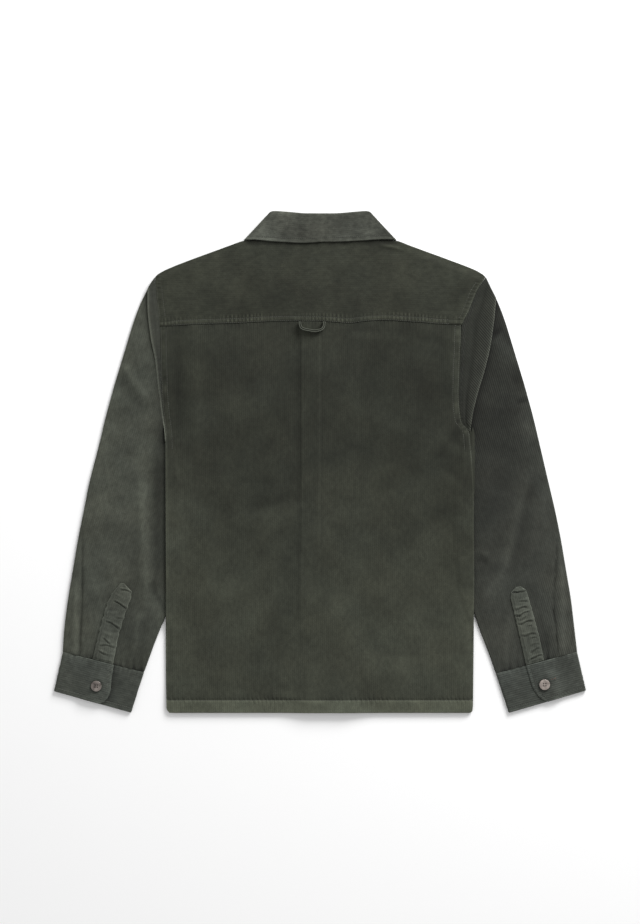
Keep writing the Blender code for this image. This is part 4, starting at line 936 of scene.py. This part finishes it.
def sleeve_tone(x, y, side):
    # Painted shadow from the fold beside the armhole, and from the body's edge where the body lies over
    # the sleeve.
    shade = 1 - 0.42 * fade(distance(x, y, fold_edge[side]), 7) * ease((y - 15) / 20)
    beside = np.maximum(from_body(x, y, side), 0)
    shade -= 0.35 * fade(beside, 4) * ease((60 - y) / 20) * ease((y + 240) / 30)
    if side < 0:
        shade -= 0.4 * bell(beside - 9, 12) * ease((75 - y) / 30) * ease((y + 215) / 60)
        shade += 0.06 * ease((-100 - y) / 100) - 0.05 * ease((y - 50) / 100)
    else:
        shade += 0.12 * ease((-150 - y) / 80) - 0.42 * ease((y + 30) / 90)
    # Painted shade at the joint with the cuff, painted light and shade over the gathers above it, and
    # the placket's painted shadow.
    gather = cuff_distance(x, y, side)
    joint = 0.25 + 0.35 * ease(0.5 + 1.4 * ripple(x, 0.4 + side, 34))
    shade -= joint * fade(gather, 2.6)
    shade -= (0.2 + 0.12 * ripple(x, 2.2 + side, 70)) * fade(gather, 14)
    shade += 0.22 * ripple(x, 1.7 + side, 10.5) * fade(gather, 12) - placket_shadow(x, y, side)
    # The folds are also painted in as light and shade.
    shade += areas(x, y, SLEEVE_AREAS[side]) + 0.2 * folds(x, y, SLEEVE_FOLDS[side])
    return np.maximum(shade, 0.2)


def fold_tone(x, y, side):
    share, width = fold_share(x, y, side)
    off = distance(x, y, fold_edge[side])
    # Lighter rim along the fold's edge, partly wear and partly a painted sheen highlight; a painted dark
    # line at its groove; painted light that lifts the shade at its lower end.
    rim = 1.5 * fade(off, 1.7) if side > 0 else 2.4 * bell(off, 2.4)
    tip = ease((66 - y) / 12) * fade(share * width, 5)
    level = 0.86 if side > 0 else 0.86 - 0.24 * ease((200 - y) / 40)
    return level + rim + 0.12 * share - 0.16 * bell(share - 0.42, 0.1) + 0.8 * tip


def sleeve_show(x, y, side):
    """The right sleeve's wales show in its upper part and beside its outer edge."""
    if side < 0:
        return 0.7
    return 0.4 + 0.85 * ease((y + 40) / 90) + 0.5 * ease((x - 322) / 14) * ease((-150 - y) / 40)


def fold_show(x, y, side):
    """The fold's wales show most near its rim."""
    return 0.5 + 1.3 * ease((fold_share(x, y, side)[0] - 0.25) / 0.6)


def sleeve_rounding(x, y, side):
    return 0.25 + 1.85 * ease(cuff_distance(x, y, side) / 5)


def fold_rounding(x, y, side):
    return (0.7 + 1.2 * ease(from_body(x, y, side) / 4)) * (0.3 + 0.7 * ease((y - 56) / 16))


for side, name in NAMES.items():
    outline, fold_plan = sleeve_outline(side), fold_outline(side)
    top_part = ribbed(
        outline, -side * SLEEVE_TILT, partial(sleeve_top, side=side),
        tone=partial(sleeve_tone, side=side), rounding=partial(sleeve_rounding, side=side),
        relief=0.24, edge_wear_and_sheen=0, level=True, step=4, show=partial(sleeve_show, side=side),
    )
    low_part = ribbed(
        outline, -side * SLEEVE_TILT, lambda x, y: 0 * x + CLOTH, lambda x, y: 0 * x,
        per=3, step=12, under=True, rounding=2,
    )
    fold_part = ribbed(
        fold_plan, -side * CREASE_TILT, partial(fold_top, side=side),
        tone=partial(fold_tone, side=side), rounding=partial(fold_rounding, side=side),
        step=2.5, show=partial(fold_show, side=side), edge_wear_and_sheen=0, paint=1,
    )
    paints = [cloths["sleeve_" + name], cloths["fold_" + name]]
    parts = [top_part, low_part, fold_part]
    build_object(f"sleeve_{name}_cloth", parts, paints, [f"sleeve_{name}"])
    2 * area_of(outline) + area_of(fold_plan)

# Plackets

# Creases drawn up by the plackets' stitching. Columns: x and y at both ends, half width, height
CREASES_LEFT = [
    (-298, -190.7, -282.2, -194.8, 1.3, -1.3), (-306, -209, -290.2, -218.5, 1.2, -1.6),
    (-306, -198, -294, -201, 1.8, 0.5), (-304.4, -233, -293.3, -235.7, 1.4, -0.6),
    (-318.5, -239, -299.6, -248.5, 1.2, -1.5), (-318, -226, -304, -224, 2.4, 0.5),
    (-324.8, -264.2, -313.9, -272.2, 1.2, -1.1), (-322, -255, -304, -259, 2.6, 0.5),
    (-328, -273.7, -305.9, -276.8, 1.3, -1), (-331, -283.1, -318.5, -289.4, 1.2, -1.1),
    (-330, -297.4, -312.2, -300.5, 1.5, -0.8), (-322, -289, -306, -287, 1.6, 0.4),
]
CREASES_RIGHT = [
    (286.7, -193.7, 295.3, -195.8, 1.1, -1.4), (295.3, -195.8, 308.3, -190.7, 1.1, -1.4),
    (299.2, -209.6, 310.8, -207.1, 1.3, -1), (293.6, -220.4, 308.3, -216.6, 1.2, -1.2),
    (292.7, -229.8, 300.5, -229.2, 1.2, -1.5), (300.5, -229.2, 313.4, -223.2, 1.2, -1.3),
    (298, -236.8, 309.1, -232.4, 1.2, -0.8), (298.7, -242.3, 316.9, -236.8, 1.1, -1.4),
    (312.5, -246.2, 317.3, -244.9, 1.2, -0.9), (303.1, -260, 322, -256.6, 1.5, -1.1),
    (316, -264.4, 322.9, -262.6, 1.2, -0.8), (316.9, -274.7, 328.9, -272, 1.4, -0.6),
    (315.2, -284.2, 328.1, -278.9, 1.3, -1.1), (312.5, -299.6, 318.9, -293, 1.3, -1.3),
    (318.9, -293, 334.1, -288.5, 1.2, -1.3),
]
CREASES = {-1: CREASES_LEFT, 1: CREASES_RIGHT}


def placket_sides(side, count):
    return (resampled([row[k:k + 2] for row in PLACKETS[side]], count) for k in (0, 2))


def placket(side):
    name, creases = "sleeve_placket_" + NAMES[side], CREASES[side]
    left, right = placket_sides(side, 150)
    u = np.concatenate([[0, 0.01, 0.03, 0.06], np.linspace(0.1, 0.9, 34), [0.94, 0.97, 0.99, 1]])
    run = np.broadcast_to(np.linspace(0, 1, 150)[:, None], (150, len(u)))
    length = math.dist(left[0], left[-1])
    across, along = u * 30, run * length
    wavy = u + 0.02 * ripple(along, 1 + side, 13) * np.sin(math.pi * run)
    x, y = (left[:, k:k + 1] + wavy * (right - left)[:, k:k + 1] for k in (0, 1))
    drawn = folds(x + 1.3 * np.sin(y / 3.7), y + 1.1 * np.sin(x / 3.1 + y / 9), creases)
    drawn -= 0.45 * folds(x, y - 3.1, creases)
    edge = np.minimum(np.minimum(u, 1 - u) * 30, np.minimum(run, 1 - run) * length + 0.2)
    base = sleeve_top(x, y, side) + SEAM_GAP + 0.15
    high = base + 1.5 + 1.1 * ease(edge / 5) + drawn * ease(edge / 3) - 0.3 * bell(edge - 2.6, 0.8)
    high -= 1.2 * (1 - edge_share(edge, 1.2))
    ridge = wales(across, along)
    high += pile_relief(ridge, across, along) * ease(edge / 2)
    high = np.maximum(high, base + 0.25)
    puffed = np.maximum(-folds(x, y - 2.6, creases), 0) + 0.4 * ripple(y + 0.3 * x, 2.7, 9)
    # Painted shade in the creases and the stitch grooves, painted highlight on the puffs between them,
    # and lighter edges, partly wear and partly a painted sheen highlight.
    shade = 1.02 + 0.3 * drawn + 0.14 * puffed + 0.55 * fade(edge, 1.5) - 0.15 * bell(edge - 2.8, 0.9)
    part = wall(
        np.dstack([x, y, high]), np.dstack([x, y, base]),
        ridge=ridge, across=across, along=along, tone=shade,
    )
    made = build_object(name + "_cloth", [part], [cloths["placket"]], [name])
    area = area_of(np.vstack([left, right[::-1]])) * 1.15


for side in NAMES:
    placket(side)

# Cuffs


def cuff_frame(side):
    """Turns shares of a cuff's width and depth into plan points. Also gives its depth."""
    top_out, low_out, low_in, top_in = (np.array(corner) for corner in CUFFS[side])

    def point(u, v):
        u, v = np.asarray(u)[..., None], np.asarray(v)[..., None]
        return (1 - u) * ((1 - v) * top_out + v * low_out) + u * ((1 - v) * top_in + v * low_in)

    return point, math.dist(top_out, low_out)


def cuff_line(width, end):
    """The middle line of a cuff, from its under end round both folds to its upper end."""
    low, high = CUFF_WALL / 2, CUFF_FOLD_Z
    mid, radius = (low + high) / 2, (high - low) / 2
    under, over = CUFF_UNDER_END * width, high + CUFF_WALL + LAP_GAP
    bend, lean = low + 0.35 * radius, 0.75 * radius
    line = [(x, high) for x in (under, 0.55 * width, 0.75 * width, width - radius - 1)]
    line += [(width - bend, mid + lean), (width - low, mid), (width - bend, mid - lean)]
    line += [(x, low) for x in (width - radius - 1, 0.75 * width, 0.5 * width, 0.25 * width, radius + 1)]
    line += [(bend, mid - lean), (low, mid), (bend, mid + lean), (radius + 1, high)]
    line += [(under - 12, high + 0.1), (under - 5, high + 1.2), (under + 1, over)]
    rest = end * width - under - 1
    return line + [(under + 1 + rest * t, over) for t in (0.35, 0.7, 0.9)] + [(end * width, over - 0.35)]


# Columns: lighter edges (partly wear, partly a painted sheen highlight), shade of the stitching, shade
# of the lower layer, painted shadow at the place under the end (negative lifts it as painted light),
# painted highlight on the lap
CUFF_SHADES = {-1: (0.3, 0.16, 0.28, 0.42, 0), 1: (0.6, -0.2, -0.04, -0.2, 0.4)}


def cuff(side):
    cuff_wear_and_sheen, stitched, dim, lap_shadow, lap = CUFF_SHADES[side]
    name = "cuff_" + NAMES[side]
    point, depth = cuff_frame(side)
    near = np.array([0, 0.2, 0.5, 0.9]) / depth
    outer, inner, looks = [], [], []
    for v in [*near, *np.linspace(1.4 / depth, 1 - 1.4 / depth, 78), *(1 - near[::-1])]:
        end = np.interp(v, *zip(*CUFF_ENDS[side]))
        width = math.dist(point(0, v), point(1, v))
        line = resampled(smoothed(cuff_line(width, end), 4), 150)
        normal, run, down = normals(line), lengths(line), v * depth
        to_end = run[-1] - run
        edge = np.minimum(min(v, 1 - v) * depth, np.minimum(run, to_end))
        ridge = wales(down, run)
        seam = np.minimum((1 - v) * depth, np.where(run > run[-1] * 0.6, to_end, 99))
        draw = bell(seam - CUFF_STITCH, 1)
        pucker = 0.2 * ripple(run + down, 1.9, 4.6) * bell(seam - 4, 3.6)
        rise = (pile_relief(ridge, down, run) - 0.3 * draw + pucker) * ease(line[:, 1] - 3)
        half = CUFF_WALL / 2 * edge_share(edge, 1, LEAST_EDGE)
        raised = half * (1 - 0.55 * fade(to_end, 5)) + rise * ease(edge / 2)
        for grid, offset in ((outer, raised), (inner, -half)):
            placed = line + normal * offset[:, None]
            grid.append(np.column_stack([point(placed[:, 0] / width, v), placed[:, 1]]))
        # Lighter edges, partly wear and partly a painted sheen highlight; painted light and shade over
        # the puckers; a painted highlight on the lap's end.
        shade = 1 + cuff_wear_and_sheen * fade(edge, 1.6) + stitched * draw + 1.2 * pucker
        shade += 0.22 * ripple(run, 3.4, 7.5) * fade(down, 7) + lap * bell(to_end - 1.6, 2.6)
        # The lower layer is darker, with a painted shadow beside the upper end.
        beneath = (line[:, 0] - end * width) * (run < run[-1] * 0.4)
        shade -= (dim + lap_shadow * fade(beneath, 5)) * (beneath > 0)
        plan = point(line[:, 0] / width, v)
        # Painted shadow around the button.
        off = np.maximum(np.hypot(*(plan - CUFF_BUTTONS[side]).T) - 8, 0)
        shade += areas(*plan.T, CUFF_AREAS) - 0.45 * fade(off, 1.8)
        looks.append(np.broadcast_arrays(ridge, down, run, shade))
    part = wall(np.array(outer), np.array(inner), **looks_of(looks))
    made = build_object(name + "_cloth", [part], [cloths[name]], [name])


for side in NAMES:
    cuff(side)

# Collar


def collar_sections():
    """The table's sections, mirrored and joined smoothly in small steps."""
    table = np.array(COLLAR)
    mirrored = table[1] * (-1, 1, -1, 1, -1, 1, 1)
    rows = []
    for i in range(len(table) - 1):
        p = table[i - 1] if i else mirrored
        q, r, s = table[i], table[i + 1], table[min(i + 2, len(table) - 1)]
        for t in np.arange(8) / 8:
            bend = 2 * p - 5 * q + 4 * r - s + t * (3 * (q - r) + s - p)
            rows.append(q + 0.5 * t * (r - p + t * bend))
    rows.append(table[-1])
    return [(-1, row) for row in rows[:0:-1]] + [(1, row) for row in rows]


def collar_edge_shift(x):
    """How far the fall's lower edge hangs from an even curve."""
    even = 0.6 + 1.7 * ease((x + 20) / 70) - 0.6 * bell(x + 30, 20)
    return even + 1.6 * ease((-70 - x) / 40) + 0.1 * ease((x - 78) / 20)


def collar_line(fold, edge, neck, turn):
    """A section from its outer edge over the fold to the neck seam, with its normals."""
    level, tip = math.cos(turn), math.sin(turn)
    leaf = COLLAR_RADIUS + (COLLAR_RADIUS - COLLAR_WALL / 2) * level
    band = COLLAR_RADIUS + (COLLAR_RADIUS - 1.5 * COLLAR_WALL - LAP_GAP) * level
    out = unit(edge - fold)
    shift = np.array([-out[1], out[0]])
    if shift[0] < 0:
        shift = -shift
    near, far = tip * COLLAR_WALL / 2, tip * (1.5 * COLLAR_WALL + LAP_GAP)
    line = [(*(fold + (edge - fold) * t - shift * near), leaf) for t in (1, 0.9, 0.6, 0.3, 0.06)]
    line.append((*(fold - out * 0.9 - shift * (near + far) / 2), (leaf + band) / 2))
    start = fold + out
    line += [(*(start + (neck - start) * t - shift * far), band) for t in (0.06, 0.3, 0.65, 1)]
    line = resampled(smoothed(line, 8), 120)
    ahead, above = np.array([*out, 0]), np.array([*(shift * tip), level])
    slope = np.gradient(line, axis=0)
    normal = (slope @ above)[:, None] * ahead - (slope @ ahead)[:, None] * above
    return line, normal / (np.linalg.norm(normal, axis=1)[:, None] + 1e-9)


def collar():
    outer, inner, looks = [], [], []
    for side, row in collar_sections():
        turn = math.radians(min(max(row[6], 0), 180))
        fold, neck, x = row[0:2], row[4:6], side * row[2]
        edge = row[2:4] + (0, collar_edge_shift(x) * math.cos(turn / 2))
        line, normal = collar_line(fold, edge, neck, turn)
        run, along = lengths(line), side * (1.2 * row[0] + 0.9 * row[6])
        from_fold = run - np.linalg.norm(edge - fold)
        ridge = wales(from_fold, along)
        wave = 0.35 * ripple(along, 0.9, 23) + 0.3 * ripple(along + run, 2.9, 41)
        seam = bell(run - 5.5, 0.9)
        pucker = 0.14 * ripple(along, 3.1, 5.4) * bell(run - 4, 4)
        rise = pile_relief(ridge, run, along, 0.12) - 0.3 * seam + pucker
        rise *= ease(run / 1.5) * ease((run[-1] - run) / 2)
        line[:, 2] += np.maximum(wave + 0.3, 0) * fade(run, 12) * max(math.cos(turn), 0)
        half = COLLAR_WALL / 2 * edge_share(np.minimum(run, run[-1] - run), 1, LEAST_EDGE)
        for grid, offset in ((outer, half + rise), (inner, -half)):
            placed = line + normal * offset[:, None]
            placed[:, 0] = COLLAR_CENTRE_X + side * placed[:, 0]
            placed[:, 0] -= 2.8 * ease((-40 - placed[:, 0]) / 30)
            grid.append(placed)
        # Lighter lip along the fall's edge, partly wear and partly a painted sheen highlight; painted
        # highlight along the fold; painted shade in the stitch groove; painted light and shade over the
        # puckers and waves.
        lip = 0.35 + 0.5 * ease((-20 - x) / 40) + 0.4 * ease((x - 80) / 16)
        shade = 1 + lip * fade(run, 2.2) - 0.15 * seam + 0.6 * pucker + 0.12 * wave
        shade += 0.22 * fade(np.abs(from_fold), 1.8) + 0.14 * ease((-50 - x) / 40)
        shade += areas(x, 0, COLLAR_AREAS) - 0.16 * bell(x - 74, 22) * (run > 18)
        streak = ripple(along + 0.1 * run, 1.3, 6.1) * (0.6 + 0.4 * np.sin(run / 7 + along / 19))
        shade += 0.08 * streak + 0.07 * ripple(along - 0.25 * run, 4.2, 12)
        looks.append(np.broadcast_arrays(ridge, from_fold, along, shade))
    part = wall(np.array(outer), np.array(inner), **looks_of(looks))
    made = build_object("collar_cloth", [part], [cloths["collar"]], ["collar"])


collar()

# Locker loop


def panel_top_near(x, y):
    around = [(x + dx, min(y + dy, YOKE_SEAM_Y - 1)) for dx in (-5, 0, 5) for dy in (-5, 0, 5)]
    return max(float(back_base(np.array(px), np.array(py))) for px, py in around) + CLOTH


def locker_loop():
    """A folded strip on its edge: its two folds stand up with a hollow between them."""
    path = resampled(smoothed(LOOP_PATH, 8), 90)
    half, high = LOOP_WIDTH / 2, LOOP_HEIGHT
    rising = [(-half, 0), (-half, high - 0.7), (-half + 0.25, high - 0.15), (-half + 0.65, high)]
    rising += [(-half + 1.1, high - 0.3), (-0.35, high - 1.7)]
    profile = rising + [(-s, z) for s, z in rising[::-1]]
    outer, inner = [], []
    for p, n in zip(path, normals(path)):
        foot = panel_top_near(*p) + SEAM_GAP
        outer.append([(*(p + n * s), foot + z) for s, z in profile])
        inner.append([(*(p + n * s * 0.9), foot) for s, z in profile])
    side, top = np.array(profile).T
    # Painted highlight on the tops of the two folds and painted shade in the hollow between them.
    part = wall(
        np.array(outer), np.array(inner), ridge=0.8, across=side,
        along=np.linspace(0, 70, 90)[:, None], tone=0.4 + 1.3 * (top / high) ** 8,
    )
    made = build_object("locker_loop_cloth", [part], [cloths["loop"]], ["locker_loop"])


locker_loop()

# Stitches


def stitches(name, rows, material, pitch=3, length=2.1, radius=0.3):
    """Rows of single stitches. Each row is a line of points with heights."""
    ring = np.arange(6) * math.tau / 6
    stops = [(-0.5, 0.25), (-0.36, 0.8), (0, 1), (0.36, 0.8), (0.5, 0.25)]
    pairs = [(i + j, i + (j + 1) % 6) for i in range(0, 24, 6) for j in range(6)]
    tube = [(a, b, b + 6, a + 6) for a, b in pairs] + [range(5, -1, -1), range(24, 30)]
    points, faces = [], []
    for row_number, row in enumerate(rows):
        row = np.asarray(row, float)
        run = lengths(row)
        for k in range(int(run[-1] / pitch)):
            jitter = 0.12 * math.sin(12.9 * k + 4.1 * row_number)
            at = (k + 0.5 + 0.3 * jitter) * pitch + np.array([-0.5, 0.5]) * length
            low, high = np.stack([np.interp(at, run, column) for column in row.T], axis=1)
            along = unit(high - low)
            side = unit(np.array([-along[1], along[0], 0]))
            middle = (low + high) / 2 + side * jitter
            faces += [tuple(len(points) + n for n in face) for face in tube]
            for share, size in stops:
                reach = radius * size
                lift = 0.75 * reach * np.sin(ring) - 0.12 * (1 - size)
                round_it = np.outer(reach * np.cos(ring), side) + np.outer(lift, (0, 0, 1))
                points.extend(middle + along * share * length + round_it)
    build_object(name, [{"points": np.array(points), "faces": faces}], [material])


def on_surface(line, height, sink=0.02):
    line = resampled(line, max(int(lengths(np.asarray(line, float))[-1] / 1.5), 2))
    return np.column_stack([line, height(line[:, 0], line[:, 1]) - sink])


def flat_row(line, z):
    return np.column_stack([line, np.full(len(line), z)])


def beside(side, gap, low, high):
    line = body[side]
    return line[(line[:, 1] > low) & (line[:, 1] < high)] - (side * gap, 0)


seam_part = seam_line[(seam_line[:, 0] > -228) & (seam_line[:, 0] < 203)]
yoke_rows = [on_surface(seam_part + (0, up), yoke_top) for up in YOKE_ROWS]
body_rows = [on_surface([(-228, HEM_STITCH_Y), (228, HEM_STITCH_Y)], back_top)]
for side in NAMES:
    for gap in ARMHOLE_ROWS:
        yoke_rows.append(on_surface(beside(side, gap, 213, 270), yoke_top))
        body_rows.append(on_surface(beside(side, gap, 18, 208), back_top))
stitches("yoke_stitches", yoke_rows, thread)
stitches("body_stitches", body_rows, thread)

cuff_rows = []
for side in NAMES:
    point, depth = cuff_frame(side)
    low_v = 1 - CUFF_STITCH / depth
    lap = []
    for v in np.linspace(0.03, low_v, 24):
        width = math.dist(point(0, v), point(1, v))
        end = np.interp(v, *zip(*CUFF_ENDS[side]))
        lap.append(point(end - CUFF_STITCH / width - 0.06 * max(v - 0.7, 0), v))
    lap += [point(u, low_v) for u in np.linspace(0.5, 0.03, 20)]
    over = [point(u, low_v) for u in np.linspace(0.66, 0.97, 12)]
    cuff_rows.append(flat_row(resampled(lap, 90), CUFF_TOP_Z - 0.12))
    cuff_rows.append(flat_row(resampled(over, 30), CUFF_LAYER_Z - 0.12))
stitches("cuff_stitches", cuff_rows, thread)

fall_x = np.linspace(-88, 90, 60)
fall_y = 335.1 + collar_edge_shift(fall_x) + 0.00022 * fall_x * fall_x
collar_row = flat_row(np.stack([fall_x + COLLAR_CENTRE_X, fall_y], axis=1), 2 * COLLAR_RADIUS + 0.15)
stitches("collar_stitches", [collar_row], thread)

placket_rows = []
for side in NAMES:
    left, right = placket_sides(side, 60)
    for u in (0.088, 0.912):
        row = on_surface((left + (right - left) * u)[2:-2], partial(sleeve_top, side=side))
        placket_rows.append(row + (0, 0, SEAM_GAP + 1.75))
stitches("placket_stitches", placket_rows, thread, pitch=2.8, length=1.9)

slit = np.linspace((345.9, -325.4), (353.4, -323), 12)
tack = np.linspace((353.4, -324.6), (352.6, -321.6), 6)
marks = [flat_row(row, CUFF_TOP_Z + 0.05) for row in (slit, tack)]
stitches("buttonhole_stitches", marks, brown_thread, pitch=1.5, length=1.4, radius=0.28)

# Buttons


def button(side, z):
    """A turned button with a raised rim and four holes through its dish."""
    hole, offset, count = 1.15, 2.3, 96
    rings = [*np.linspace(0, 6.2, 42)[1:], *np.linspace(6.4, 8, 12)]
    turns = np.arange(count) * math.tau / count
    profile = [(0, 1.68), (4.6, 1.72), (5.6, 2.05), (6.4, 2.4), (7, 2.38), (7.6, 2.1), (8, 1.4)]
    heights = []
    for r in rings:
        x, y = r * np.cos(turns), r * np.sin(turns)
        height = np.full(count, np.interp(r, *zip(*profile)))
        for angle in np.radians((45, 135, 225, 315)):
            gap = np.hypot(x - offset * math.cos(angle), y - offset * math.sin(angle))
            height = np.minimum(height, 0.3 + 1.6 * ease((gap - 0.75 * hole) / (0.45 * hole)))
        heights.append((r, height))
    heights += [(8, 0.8), (7.8, 0.2), (6.4, 0)]
    points = [(0, 0, 1.68)]
    for r, height in heights:
        circle = np.broadcast_arrays(r * np.cos(turns), r * np.sin(turns), height)
        points.extend(np.stack(circle, axis=1))
    points.append((0, 0, 0))
    final = len(points) - 1
    pairs = [(1 + j, 1 + (j + 1) % count) for j in range(count)]
    faces = [(0, a, b) for a, b in pairs]
    for start in range(0, final - 1 - count, count):
        faces += [(a + start, a + start + count, b + start + count, b + start) for a, b in pairs]
    last = final - 1 - count
    faces += [(a + last, final, b + last) for a, b in pairs]
    part = {"points": np.array(points) + (*CUFF_BUTTONS[side], z), "faces": faces}
    name = "cuff_button_" + NAMES[side]
    build_object(name + "_horn", [part], [horns[side]], [name])


def button_strands(side, z):
    """Thread in two short bars between the holes."""
    x, y = CUFF_BUTTONS[side]
    rows = []
    for dx in (-1.65, 1.65):
        t = np.linspace(-1, 1, 9)
        rows.append(np.stack([x + dx + 0.15 * t, y + 1.6 * t, z + 1.35 + 0.5 * (1 - t**4)], axis=1))
    name = "button_thread_" + NAMES[side]
    stitches(name, rows, button_thread, pitch=3.3, length=3.2, radius=0.3)


for side, name in NAMES.items():
    low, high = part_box("cuff_button_" + name)
    button(side, low.z / MM)
    button_strands(side, low.z / MM)
for k in range(FRONT_BUTTONS):
    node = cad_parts[f"front_button_{k + 1}"]
    node.data.materials.clear()
    node.data.materials.append(horns[-1])

area_of(back_outline())
area_of(yoke_outline())

# Light, floor and camera

FLOOR_HALF = 3
floor_mesh = bpy.data.meshes.new("floor")
corners = [(FLOOR_HALF * x, FLOOR_HALF * y, 0) for x, y in ((-1, -1), (1, -1), (1, 1), (-1, 1))]
floor_mesh.from_pydata(corners, [], [(0, 1, 2, 3)])
floor = bpy.data.objects.new("floor", floor_mesh)
floor.location.z = -0.0003
bpy.context.scene.collection.objects.link(floor)
floor_mesh.materials.append(plain_paint("floor", (0.95, 0.95, 0.95), 0.9).material)

world = bpy.data.worlds.new("studio")
bpy.context.scene.world = world
world.use_nodes = True
backdrop = world.node_tree.nodes["Background"]
backdrop.inputs["Color"].default_value = (1, 1, 1, 1)
backdrop.inputs["Strength"].default_value = 0.62

KEY_PLACE = (1.3, 2.05, 1.25)
key_light = bpy.data.lights.new("key", "AREA")
key_light.shape = "RECTANGLE"
key_light.size, key_light.size_y = 1.5, 1.2
key_light.energy = 104
key = bpy.data.objects.new("key", key_light)
key.location = KEY_PLACE
key.rotation_mode = "QUATERNION"
key.rotation_quaternion = (-Vector(KEY_PLACE)).to_track_quat("-Z", "Y")
bpy.context.scene.collection.objects.link(key)

LENS, SENSOR, FRAME_HEIGHT = 100, 36, 1.386
camera_data = bpy.data.cameras.new("camera")
camera_data.lens = LENS
camera_data.sensor_width = SENSOR
camera = bpy.data.objects.new("camera", camera_data)
camera.location = (0, 0, FRAME_HEIGHT * LENS / SENSOR)
bpy.context.scene.collection.objects.link(camera)
bpy.context.scene.camera = camera
bpy.context.scene.view_settings.view_transform = "Standard"
